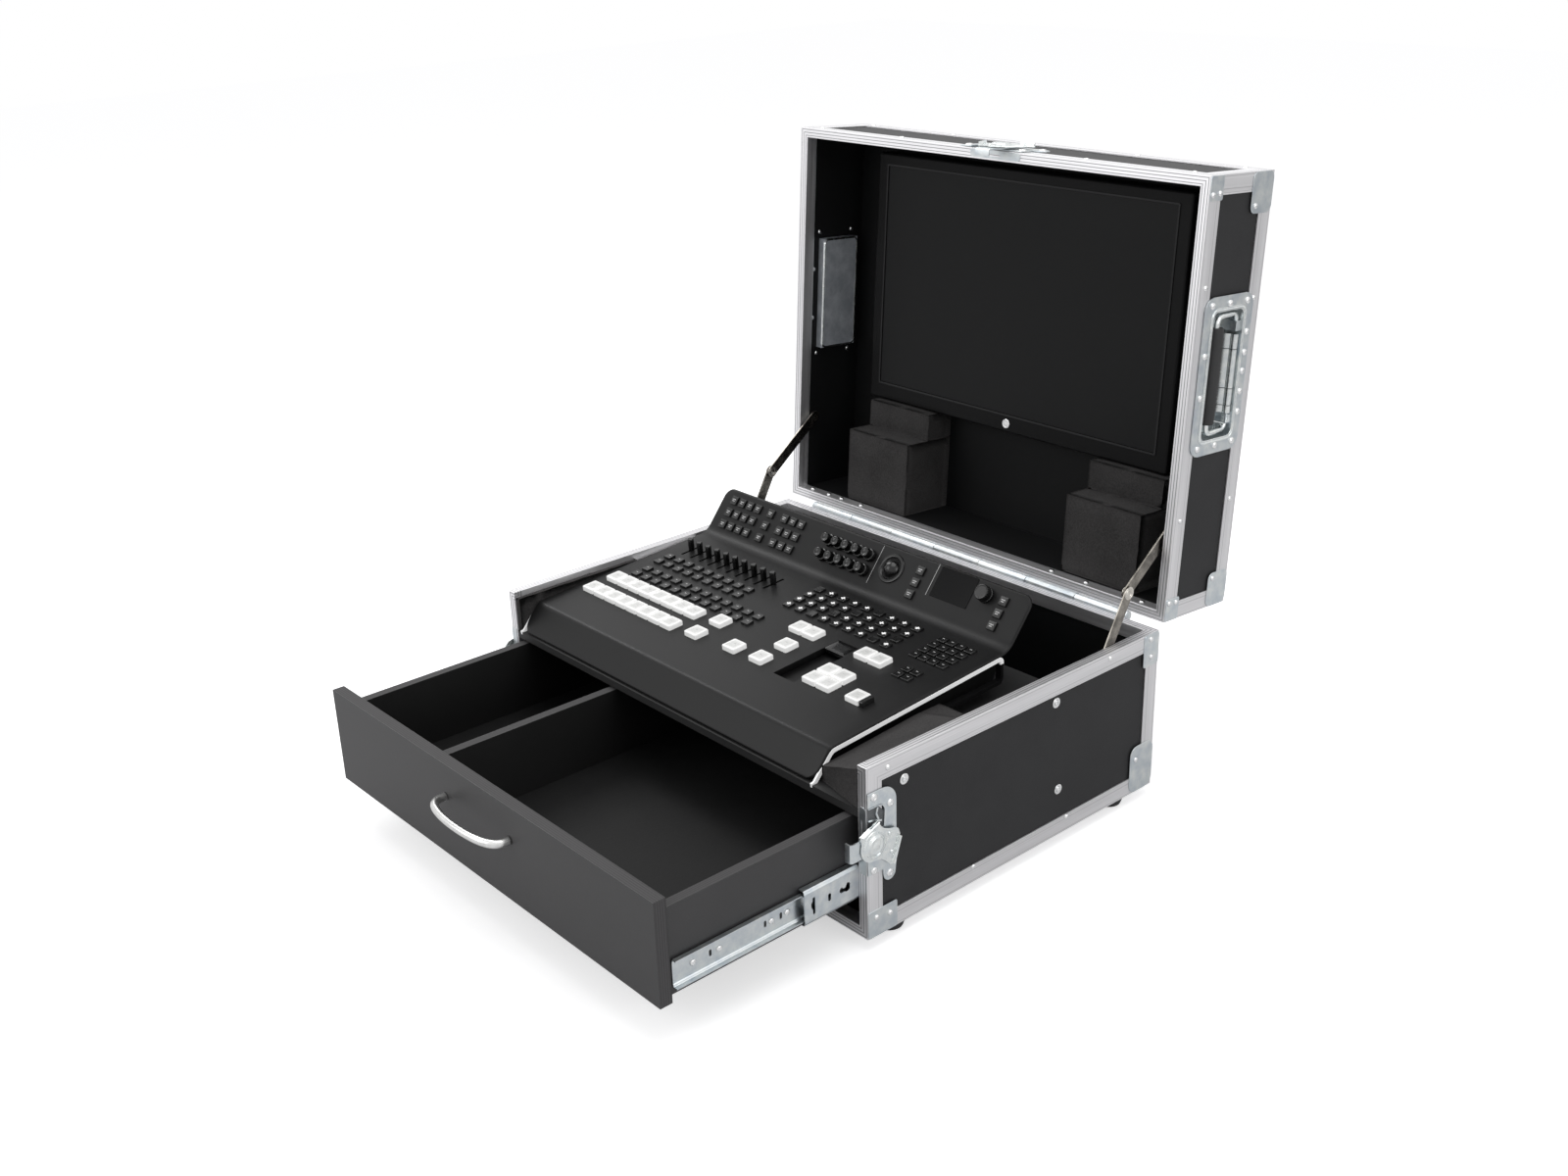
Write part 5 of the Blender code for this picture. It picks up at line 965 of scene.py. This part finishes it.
for name, body, origin, pull, along in FRAMES:
    out = np.cross(pull, along)

    def spot(u, v, w=0.0):
        return origin + u * pull + v * along + w * out

    plate = [pierced([plate_line], 0.0014, spot(0, 0, 0.0004), pull, along, 0.0002)]
    walls = ((np.concatenate(([(-0.0006, -0.0419)], arc((-0.0150, -0.0327), 0.0092, 270, 180, 8),
                              [(-0.0230, -0.0150)])), 0.0010, 0.0022),
             ([(-0.0004, -0.0290), (-0.0100, -0.0262), (-0.0190, -0.0230)], 0.0020, 0.0026),
             ([(-0.0140, -0.0400), (-0.0120, -0.0330), (-0.0150, -0.0255)], 0.0022, 0.0020))
    plate += [pierced([thick(line, width)], rise, spot(0, 0, 0.0003), pull, along) for line, width, rise in walls]
    lip = rounded(0.080, 0.0098, 0.0040, 6) + (-0.002, -0.0055)
    slit = rounded(0.034, 0.0024, 0.0011, 5)[::-1] + (-0.010, -0.0065)
    plate.append(pierced([lip, slit], 0.0005, spot(0.0001, 0, 0), along, out, 0.0001))
    plate = piece(name + "_strike", *gathered(*plate))
    # The painted shadow sheet in the plate's hollow.
    floor = pierced([np.array(((-0.0004, -0.0418), (-0.0004, -0.0142), (-0.0228, -0.0142), (-0.0238, -0.0320),
                               (-0.0150, -0.0415)))[::-1]], 0.0003, spot(0, 0, 0.0002), pull, along)
    floor = piece(name + "_painted_shadow", *floor, 0)
    pins = [spot(u, v, 0.0018) for u, v in ((-0.0090, -0.0530), (-0.0324, -0.0380), (-0.0083, 0.0336), EAR)]
    pins = piece(name + "_rivets", *studs(circle(18), FLAT_HEAD, pins, pull, along))
    arm = [(0.0031, -0.0240), (0.0031, 0.0), (0.0031, 0.0225), (0.0027, 0.0243), (0.0016, 0.0254), (0.0, 0.0256),
           (-0.0046, 0.0256)]
    arm = studs(thick(arm, 0.0016), [(1, 0), (1, 0.0218)], [spot(0, -0.0109)], out, pull, along)
    arm = piece(name + "_draw_hook", *arm, 30)
    leaf = [pierced([wing_line], 0.0014, spot(0, 0, 0.0046), pull, along, 0.0002),
            studs(circle(44), DISC, [spot(AXLE, 0)], pull, along)]
    section = thick([(0.0034, 0.0053), (0.0016, 0.0055), (0.0009, 0.0066), (0.0008, 0.0084), (0.0002, 0.0091)],
                    0.0013)
    for (u0, v0), (u1, v1) in (((0.0149, -0.0172), (-0.0108, -0.0277)), ((-0.0428, 0.0012), (-0.0317, 0.0336))):
        run = np.array((u1 - u0, v1 - v0))
        length = np.linalg.norm(run)
        run = run / length
        inward = np.array((run[1], -run[0]))
        inward = inward if inward @ (AXLE - u0, -v0) > 0 else -inward
        leaf.append(studs(section, [(1, 0.04 * length), (1, 0.96 * length)], [spot(u0, v0)],
                          inward[0] * pull + inward[1] * along, out, run[0] * pull + run[1] * along))
    for start, end in ((30, 120), (165, 250), (290, 350)):
        leaf.append(tubing([spot(u, v, 0.0067) for u, v in arc((AXLE, 0), 0.0139, start, end, 12)], 0.0009, 8))
    bosses = [spot(u, v, 0.0060) for u, v in ((-0.0270, -0.0050), (-0.0300, 0.0180), (-0.0040, -0.0215))]
    leaf.append(studs(circle(14), [(0.0024, 0), (0.0022, 0.0007), (0.0012, 0.0012)], bosses, pull, along))
    dimples = [(-0.0385 + 0.0032 * t, 0.0040 + 0.0094 * t) for t in np.linspace(0, 2.6, 5)]
    leaf.append(studs(circle(10), [(0.0009, 0), (0.0006, 0.0005)], [spot(u, v, 0.0060) for u, v in dimples], pull,
                      along))
    leaf = righted(piece(name + "_butterfly", *gathered(*leaf), 40))
    for made, material, rides, part in ((plate, zinc, body, name + "_plate"), (floor, shadow, body, None),
                                        (pins, rivet_steel, body, None), (arm, zinc, name + "_hook", name + "_hook"),
                                        (leaf, wing_zinc, name + "_wing", name + "_wing")):
        fit(made, material, rides, part)


# Console housing: one folded sheet of satin charcoal, 14 mm thick at its edges, which rises from a nose over
# the drawer, runs back as the key deck and folds up into the raised panel. Slots for the lever and the faders
# are sunk in it, and their sunk faces are painted near black as painted shade.

NOSE, CREASE, FOLD, CREST = np.array(((-0.2385, 0.1558), (-0.212, 0.188), (0.068, 0.208), (0.112, 0.262)))
MIDDLE, HALF = -0.031, 0.278
PANEL_LENGTH = np.linalg.norm(CREST - FOLD)
DECK_RUN = (FOLD - CREASE) / np.linalg.norm(FOLD - CREASE)
PANEL_RUN = (CREST - FOLD) / PANEL_LENGTH
DY, PY = np.array((0, *DECK_RUN)), np.array((0, *PANEL_RUN))
DZ, PZ = np.cross(X, DY), np.cross(X, PY)


def deck(x, d, h=0.0):
    """A place on the key deck: across from the console's middle, up the deck from its crease, and above it."""
    return base(MIDDLE + x, *CREASE) + d * DY + h * DZ


def panel(x, d, h=0.0):
    """A place on the raised panel: across from the middle, up from the fold, and above its face."""
    return base(MIDDLE + x, *FOLD) + d * PY + h * PZ


def filleted(corners, radii, steps):
    """The arcs at the inner corners of a line: their points and the unit runs of the line there."""
    corners = np.asarray(corners, float)
    points, runs = [], []
    for i in range(1, len(corners) - 1):
        before = corners[i] - corners[i - 1]
        after = corners[i + 1] - corners[i]
        before, after = before / np.linalg.norm(before), after / np.linalg.norm(after)
        bend = math.atan2(before[0] * after[1] - before[1] * after[0], before @ after)
        tangent = radii[i - 1] * math.tan(abs(bend) / 2)
        inward = np.array((-before[1], before[0])) * math.copysign(1, bend)
        centre = corners[i] - before * tangent + inward * radii[i - 1]
        for part in np.linspace(0, 1, steps):
            angle = bend * part
            turned = np.array((before[0] * math.cos(angle) - before[1] * math.sin(angle),
                               before[0] * math.sin(angle) + before[1] * math.cos(angle)))
            side = np.array((-turned[1], turned[0])) * math.copysign(1, bend)
            points.append(centre - side * radii[i - 1])
            runs.append(turned)
    return np.array(points), np.array(runs)


BEND_POINTS = 11
bends, runs = filleted([NOSE, CREASE, FOLD, CREST], (0.011, 0.026), BEND_POINTS)
front_run = (bends[0] - NOSE) / np.linalg.norm(bends[0] - NOSE)
SUNK = [(0.1055, 0.1405, 0.070, 0.174, 0.0085)]
SUNK += [(-0.2449 + 0.0187 * i, -0.2411 + 0.0187 * i, 0.2105, 0.2455, 0.0060) for i in range(10)]
cuts = sorted({row[k] for row in SUNK for k in (2, 3)})
start, end = (bends[BEND_POINTS - 1] - CREASE) @ DECK_RUN, (bends[BEND_POINTS] - CREASE) @ DECK_RUN
lengths = np.sort(np.concatenate((np.linspace(start, end, 26)[1:-1], np.repeat(cuts, 2))))
ups = np.concatenate((np.linspace((bends[-1] - FOLD) @ PANEL_RUN, PANEL_LENGTH - 0.016, 7)[1:],
                      PANEL_LENGTH - 0.015 + 0.015 * np.sin(np.linspace(0.08, 1, 12) * np.pi / 2)))
parts = (0, 0.004, 0.015, 0.035, 0.065, 0.11, 0.17, 0.25, 0.35, 0.5, 0.75)
stretches = (([NOSE + (bends[0] - NOSE) * part for part in parts], [front_run] * len(parts)),
             (bends[:BEND_POINTS], runs[:BEND_POINTS]),
             ([CREASE + DECK_RUN * d for d in lengths], [DECK_RUN] * len(lengths)),
             (bends[BEND_POINTS:], runs[BEND_POINTS:]),
             ([FOLD + PANEL_RUN * d for d in ups], [PANEL_RUN] * len(ups)))
stations, headings = (np.concatenate(column) for column in zip(*stretches))
first = len(parts) + BEND_POINTS
EDGE = THICK = 0.0028
turn = np.linspace(0, np.pi / 2, 6)[:-1]
sides = sorted({row[k] for row in SUNK for k in (0, 1)})
inner_x = np.sort(np.concatenate((np.linspace(-HALF + EDGE, HALF - EDGE, 29), np.repeat(sides, 2))))
round_x = -HALF + EDGE - EDGE * np.cos(turn)
round_h = -EDGE + EDGE * np.sin(turn)
UNDERSIDE = 0.0098
across = np.concatenate(([-HALF], round_x, inner_x, -round_x[::-1], [HALF], np.linspace(HALF, -HALF, 9)[1:-1]))
heights = np.concatenate(([-THICK], round_h, np.zeros(len(inner_x)), round_h[::-1], [-THICK],
                          np.full(7, -UNDERSIDE)))
rows, columns = len(stations), len(across)
wide = np.tile(across, (rows, 1))
high = np.tile(heights, (rows, 1))
sunk = np.zeros((rows, columns))
SLACK = 1e-9
for x0, x1, d0, d1, depth in SUNK:
    in_x = np.flatnonzero((heights == 0) & (across >= x0 - SLACK) & (across <= x1 + SLACK))[1:-1]
    in_d = np.flatnonzero((lengths >= d0 - SLACK) & (lengths <= d1 + SLACK))[1:-1] + first
    high[np.ix_(in_d, in_x)] = -depth
    sunk[np.ix_(in_d, in_x)] = 1.0
for chosen, radius, ends in ((range(14), 0.018, (stations - NOSE) @ front_run),
                             (range(rows - len(ups), rows), 0.015, PANEL_LENGTH - (stations - FOLD) @ PANEL_RUN)):
    for k in chosen:
        if ends[k] < radius:
            narrow = radius - math.sqrt(max(radius ** 2 - (radius - ends[k]) ** 2, 0))
            wide[k] -= np.sign(wide[k]) * narrow * np.clip((np.abs(wide[k]) - (HALF - 0.06)) / 0.06, 0, 1)
            drop = max(EDGE - ends[k], 0)
            high[k] = np.minimum(high[k], -(EDGE - math.sqrt(max(EDGE ** 2 - drop ** 2, 0))))
raised = np.stack((-headings[:, 1], headings[:, 0]), axis=1)
points = np.zeros((rows, columns, 3))
points[..., 0] = wide + MIDDLE
points[..., 1] = stations[:, None, 0] + raised[:, None, 0] * high
points[..., 2] = stations[:, None, 1] + raised[:, None, 1] * high
points += BASE_ZERO
index = np.arange(rows * columns).reshape(rows, columns)
beside = np.roll(index, -1, axis=1)
quads = np.stack((index[:-1], beside[:-1], beside[1:], index[1:]), axis=-1).reshape(-1, 4)
faces = quads.tolist() + [index[0][::-1].tolist(), index[-1].tolist()]
SATIN = ((0.0066, 0.0066, 0.0068), (0.0096, 0.0096, 0.0098), 0.40, 0.00004, 2400.0, 0.20)
housing = piece("console_housing", points.reshape(-1, 3), faces, 0)
housing.data.attributes.new("sunk", "FLOAT", "POINT").data.foreach_set("value", sunk.ravel())
edit = bmesh.new()
edit.from_mesh(housing.data)
bmesh.ops.remove_doubles(edit, verts=edit.verts, dist=0.000002)
edit.to_mesh(housing.data)
edit.free()
housing.data.shade_smooth()
housing.data.set_sharp_from_angle(angle=math.radians(50))
charcoal, deck_satin = board("console_satin", *SATIN), board("console_deck_satin", *SATIN)
tree = deck_satin.node_tree
shader = tree.nodes["Principled BSDF"]
# The sunk slots are painted near black: painted shade in the recesses.
slot_shade = node(tree, "ShaderNodeAttribute", None, attribute_name="sunk").outputs["Fac"]
painted = shader.inputs["Base Color"].links[0].from_socket
tree.links.new(blend(tree, slot_shade, painted, (0.0010, 0.0010, 0.0011)), shader.inputs["Base Color"])
fit(housing, deck_satin, "case_base", "console_body")
BELLY = [(-0.2161, 0.1539), (-0.1965, 0.1790), (0.0685, 0.1948), (0.1085, 0.2440), (0.1120, 0.2425), (0.1050, 0.2150),
         (0.0750, 0.1800), (0.0610, 0.1539)]
belly = np.array(BELLY) + BASE_ZERO[1:]
shell = piece("console_belly", *studs(belly[::-1], [(1, 0), (1, 0.512)], [(MIDDLE - 0.256, 0, 0)], Y, Z, X))
fit(shell, charcoal, "case_base")


# Console side rails: a white strip under each edge of the housing, with a faint painted glow, runs from the nose
# along the deck and turns down round a grip opening into a dark lower bar.

def flat_bar(line, width, thick, x0):
    """A rectangular bar along a flat line of (y, z) points, its width across the console from x0."""
    line = np.asarray(line, float)
    beside = sideways(line) * thick / 2
    corners = [np.column_stack((np.full(len(line), x0 + x), line + beside * way)) + BASE_ZERO
               for x, way in ((0, -1), (width, -1), (width, 1), (0, 1))]
    return np.stack(corners, axis=1).reshape(-1, 3), [face[::-1] for face in ring_faces(4, len(line))]


# The white strip glows a little though it is no lamp: painted light that keeps it bright in the foam's shade.
white_with_painted_glow, tree, shader, haze = clouded("rail_white_painted_glow", (0.86, 0.86, 0.86), (0.94, 0.94, 0.94), 60.0, 3.0,
                                     Roughness=0.35, Emission_Strength=0.30)
tree.links.new(blend(tree, haze, (0.80, 0.80, 0.80), (0.95, 0.95, 0.95)), shader.inputs["Emission Color"])
lift = np.array((-DECK_RUN[1], DECK_RUN[0]))
nose_out = np.array((-front_run[1], front_run[0]))
BELOW_EDGE = 0.0051
STRIP_WIDTH, STRIP_THICK, BAR_WIDTH, BAR_THICK = 0.0026, 0.0050, 0.008, 0.0040
knee = FOLD - DECK_RUN * 0.0115 - lift * BELOW_EDGE
toe = NOSE - nose_out * 0.0034
tip, end = toe + (-0.0045, -0.0008), knee + (0.0002, -0.0070)
upper, _ = filleted([tip, toe, CREASE - lift * BELOW_EDGE + (0.0020, 0.0), knee, end], (0.006, 0.012, 0.0045), 8)
upper = np.concatenate(([tip], upper, [end]))
bar_end = (-0.0400, 0.1700)
under, _ = filleted([end, knee + (0.0004, -0.0300), bar_end], (0.006,), 6)
under = np.concatenate(([end], under, [bar_end]))
for side, name in ((-1, "left"), (1, "right")):
    face = MIDDLE + side * (HALF + 0.0006)
    for kind, line, width, thickness, material in (("console_rail_", upper, STRIP_WIDTH, STRIP_THICK, white_with_painted_glow),
                                                   ("console_grip_bar_", under, BAR_WIDTH, BAR_THICK, charcoal)):
        bar = flat_bar(line, width, thickness, face - (width if side > 0 else 0.0))
        fit(piece(kind + name, *bar, 40), material, "case_base")


# Bus and effect keys: square caps of clear acrylic over a white diffuser, lit from below, each with a
# fainter square in the middle of its face.

def field(columns, rows, at, pitch):
    """Centres of a grid of keys, columns across the console and rows up its face."""
    return [(at[0] + pitch[0] * i, at[1] + pitch[1] * k) for i in range(columns) for k in range(rows)]


BUS = field(8, 2, (-0.2477, 0.069), (0.0232, 0.038)) + [(-0.041, 0.074), (-0.041, 0.1125), (0.024, 0.080),
                                                        (0.070, 0.082), (0.070, 0.122)]
BUS += field(2, 1, (0.0498, 0.163), (0.0232, 0))
EFFECT = field(2, 2, (0.1564, 0.0885), (0.0232, 0.0232)) + [(0.226, 0.090)] + field(2, 1, (0.1604, 0.166), (0.0232, 0))
CAP = [(0.0109, -0.006), (0.0109, 0.0052), (0.0106, 0.0059), (0.0100, 0.0064), (0.0092, 0.0065), (0.0074, 0.0064),
       (0.0068, 0.0058), (0.0062, 0.0058), (0.0057, 0.0063), (0.0022, 0.0063)]
lit, tree, shader = finish("lit_acrylic", Roughness=0.22, Coat_Weight=0.6, Coat_Roughness=0.06, IOR=1.49,
                           Emission_Strength=1.0)
reach = node(tree, "ShaderNodeAttribute", None, attribute_name="reach").outputs["Fac"]
rim = ramp(tree, reach, 0.45, 0.95)
diffuser = blend(tree, noise(tree, own_place(tree), 260.0, 3.0), (0.50, 0.50, 0.49), (0.66, 0.66, 0.65))
tree.links.new(blend(tree, rim, diffuser, (0.82, 0.82, 0.81)), shader.inputs["Base Color"])
tree.links.new(blend(tree, rim, (0.10, 0.10, 0.10), (0.20, 0.20, 0.20)), shader.inputs["Emission Color"])


def reached(made, ring, profile, copies):
    """Keeps on each point how far out in its cap it lies, from 0 in the middle to 1 at the side."""
    scales = np.array([scale for scale, _ in profile])
    values = np.tile(np.repeat(scales / scales.max(), len(ring)), copies)
    made.data.attributes.new("reach", "FLOAT", "POINT").data.foreach_set("value", values.astype(np.float32))
    return made


SQUARE = rounded(2.0, 2.0, 0.16, 3)
for name, keys, body in (("program_and_preview_keys", BUS, "console_bus_keys"),
                         ("effect_keys", EFFECT, "console_effect_keys")):
    made = piece(name, *studs(SQUARE, CAP, [deck(x, d) for x, d in keys], X, DY), 30)
    fit(reached(made, SQUARE, CAP, len(keys)), lit, body, body)

MARK = [(1, -0.0002), (1, 0.00012)]
stroke = np.array(((-0.0026, -0.0005), (0.0026, -0.0005), (0.0026, 0.0005), (-0.0026, 0.0005)))
# This grey paints the key legends and also the painted highlight line at the display's edge.
faint = clouded("key_mark_and_edge_highlight", (0.36, 0.36, 0.36), (0.60, 0.60, 0.60), 400.0, Roughness=0.5)[0]
for name, keys, body in (("bus_key_marks", BUS, "console_bus_keys"),
                         ("effect_key_marks", EFFECT, "console_effect_keys")):
    marks = studs(stroke * (0.8, 1.0), MARK, [deck(x, d + 0.0012, 0.0063) for x, d in keys], X, DY)
    fit(piece(name, *marks, 0), faint, body)


# Small keys: low black rubber caps in rows behind the buses, in the source field and on the raised panel. The
# lit ones of the source field carry bright white marks, and the rest plain grey bars.

MACRO = field(12, 2, (-0.241, 0.1335), (0.0205, 0.018))
TALLY = field(9, 2, (-0.248, 0.176), (0.0205, 0.018))
SHORTCUT = field(2, 2, (0.2210, 0.158), (0.0145, 0.015))
SOURCE = field(9, 4, (-0.012, 0.199), (0.0215, 0.0175))
NUMBER = field(4, 4, (0.203, 0.204), (0.0145, 0.0155))
PANEL_KEYS = field(4, 3, (-0.252, 0.018), (0.0165, 0.018)) + field(1, 3, (-0.176, 0.018), (0, 0.018))
PANEL_KEYS += field(3, 3, (-0.148, 0.018), (0.0165, 0.018)) + field(1, 3, (0.106, 0.020), (0, 0.016))
PANEL_KEYS += field(1, 3, (0.241, 0.020), (0, 0.016))
SMALL = [(0.0060, -0.005), (0.0060, 0.0016), (0.0058, 0.0025), (0.0052, 0.0030), (0.0044, 0.0029), (0.0012, 0.0029)]
key_black = board("key_rubber", (0.0040, 0.0040, 0.0041), (0.0065, 0.0065, 0.0066), 0.26, 0.00003, 2000.0, 0.55)
glow, tree, shader, haze = clouded("lit_mark", (0.55, 0.55, 0.55), (0.85, 0.85, 0.85), 300.0, Roughness=0.4,
                                   Emission_Strength=1.0)
tree.links.new(blend(tree, haze, (0.25, 0.25, 0.25), (0.55, 0.55, 0.55)), shader.inputs["Emission Color"])
ARM, WAIST, REACH = 0.0034, 0.0012, 0.0028
PLUS = np.array([(x, y * k) for k in (1, -1) for x, y in ((k * ARM, 0.0008), (k * WAIST, 0.0008), (k * WAIST, REACH),
                                                          (-k * WAIST, REACH), (-k * WAIST, 0.0008),
                                                          (-k * ARM, 0.0008))])
KEY_FACE = 0.0029
banks = (("macro_keys", MACRO + TALLY, "console_bus_keys", deck, DY),
         ("shortcut_keys", SHORTCUT, "console_effect_keys", deck, DY),
         ("source_keys", SOURCE + NUMBER, "console_source_keys", deck, DY),
         ("panel_keys", PANEL_KEYS, "console_panel_keys", panel, PY))
for name, keys, body, face, upward in banks:
    made = piece(name, *studs(SQUARE, SMALL, [face(x, d) for x, d in keys], X, upward), 30)
    fit(made, key_black, body, body if name in ("source_keys", "panel_keys") else None)
    plain, size = keys, (0.62, 1.0)
    if name == "source_keys":
        plain = NUMBER
        lit_keys = [face(x, d + 0.0002, KEY_FACE) for i, (x, d) in enumerate(SOURCE) if (i * 7) % 5 != 1]
        fit(piece("source_key_lights", *studs(PLUS, MARK, lit_keys, X, upward), 0), glow, body)
    if name == "panel_keys":
        size = (1.20, 1.1)
    marks = [studs(stroke * size, MARK, [face(x, d + 0.0012, KEY_FACE) for x, d in plain], X, upward)]
    if name == "panel_keys":
        places = [face(x - 0.0004, d - 0.0012, KEY_FACE) for x, d in plain]
        marks.append(studs(stroke * size * (0.7, 1), MARK, places, X, upward))
    fit(piece(name + "_marks", *gathered(*marks), 0), faint, body)


# Faders, lever, knobs and trackball: moulded black caps with fluted sides, a dark slotted lever head, a ribbed
# menu knob, and a glossy black ball in a ringed socket.

black_gloss = board("black_gloss", (0.0030, 0.0030, 0.0031), (0.0050, 0.0050, 0.0051), 0.20, 0.00002, 1500.0, 0.45)
FLUTED = circle(30, 10, 0.10)
FADER_CAP = [(0.0040, 0.0006), (0.0042, 0.0012), (0.0042, 0.0158), (0.0039, 0.0166), (0.0034, 0.0170), (0.0012, 0.0168)]
fader_places = [deck(-0.243 + 0.0187 * i, 0.228) for i in range(10)]
faders = piece("fader_caps", *studs(FLUTED, FADER_CAP, fader_places, X, DY), 30)
fit(faders, black_gloss, "console_faders", "console_faders")
stems = piece("fader_stems", *studs(circle(8), [(0.0013, -0.004), (0.0013, 0.0010)], fader_places, X, DY), 30)
fit(stems, key_black, "console_faders")

HEAD = [(1, -0.0040), (1, -0.0006), (0.97, 0.0002), (0.93, 0.0004), (0.5, 0.0002)]
lever = piece("transition_lever", *studs(rounded(0.0340, 0.0240, 0.0015, 4), HEAD, [deck(0.123, 0.1613)], X, DY), 30)
fit(lever, black_gloss, "console_lever", "console_lever")

KNOB = [(0.0086, 0.0), (0.0085, 0.0050), (0.0080, 0.0058), (0.0066, 0.0064), (0.0064, 0.0142), (0.0060, 0.0151),
        (0.0048, 0.0154), (0.0036, 0.0147), (0.0010, 0.0145)]
cluster = [panel(-0.054 + 0.0185 * i, 0.027 + 0.021 * k) for i in range(5) for k in range(2)]
knobs = piece("colour_knobs", *studs(circle(36, 12, 0.08), KNOB, cluster, X, PY), 30)
fit(knobs, black_gloss, "case_base")
MENU = [(0.0105, 0.0004), (0.0105, 0.0030), (0.0098, 0.0036), (0.0098, 0.0118), (0.0093, 0.0128), (0.0084, 0.0130),
        (0.0076, 0.0124), (0.0020, 0.0124)]
menu = piece("menu_knob", *studs(circle(72, 24, 0.06), MENU, [panel(0.213, 0.052)], X, PY), 30)
fit(menu, key_black, "console_knob", "console_knob")
BALL_PLACE, BALL_RADIUS, BALL_SUNK = panel(0.060, 0.042), 0.0125, 0.004
turn = np.linspace(-np.pi / 2, np.pi / 2, 25)
BALL = np.stack((BALL_RADIUS * np.cos(turn), BALL_RADIUS * np.sin(turn) - BALL_SUNK), axis=1)
ball = piece("trackball", *studs(circle(48), BALL[1:-1], [BALL_PLACE], X, PY), 60)
fit(ball, black_gloss, "console_trackball", "console_trackball")
RING = [(0.0195, 0.0), (0.0195, 0.0008), (0.0188, 0.0016), (0.0172, 0.0019), (0.0156, 0.0016), (0.0146, 0.0006),
        (0.0130, -0.0010)]
ring = piece("trackball_ring", *studs(circle(48), RING, [BALL_PLACE], X, PY), 30)
display_glass = clouded("display_glass", (0.0016, 0.0016, 0.0018), (0.0026, 0.0026, 0.0029), 30.0, Roughness=0.16,
                        Specular_IOR_Level=0.12)[0]
display = piece("menu_display", *sheet(rounded(0.060, 0.0400, 0.001), panel(0.164, 0.0475, 0.0001), X, PY, 0.0006))
seam = piece("panel_seam", *sheet(rounded(0.0006, 0.052, 0.0002), panel(0.033, 0.040), X, PY, 0.00015, 0.0001))
# A thin light line along the display's left edge: a painted highlight for the glint on its glossy frame.
edge = piece("display_edge_highlight", *sheet(rounded(0.0006, 0.042, 0.0002), panel(0.1285, 0.0475), X, PY, 0.0003, 0.0001))
guard = piece("fade_key_guard", *studs(rounded(0.0060, 0.0190, 0.001), [(1, 0), (1, 0.0058), (0.94, 0.0066)],
                                       [deck(0.2410, 0.0890)], X, DY), 30)
for made, material, slot in ((ring, black_gloss, "console_plastic"), (display, display_glass, "console_plastic"),
                             (seam, faint, "console_plastic"), (edge, faint, "console_plastic"),
                             (guard, key_black, "dark_key")):
    fit(made, material, "case_base")
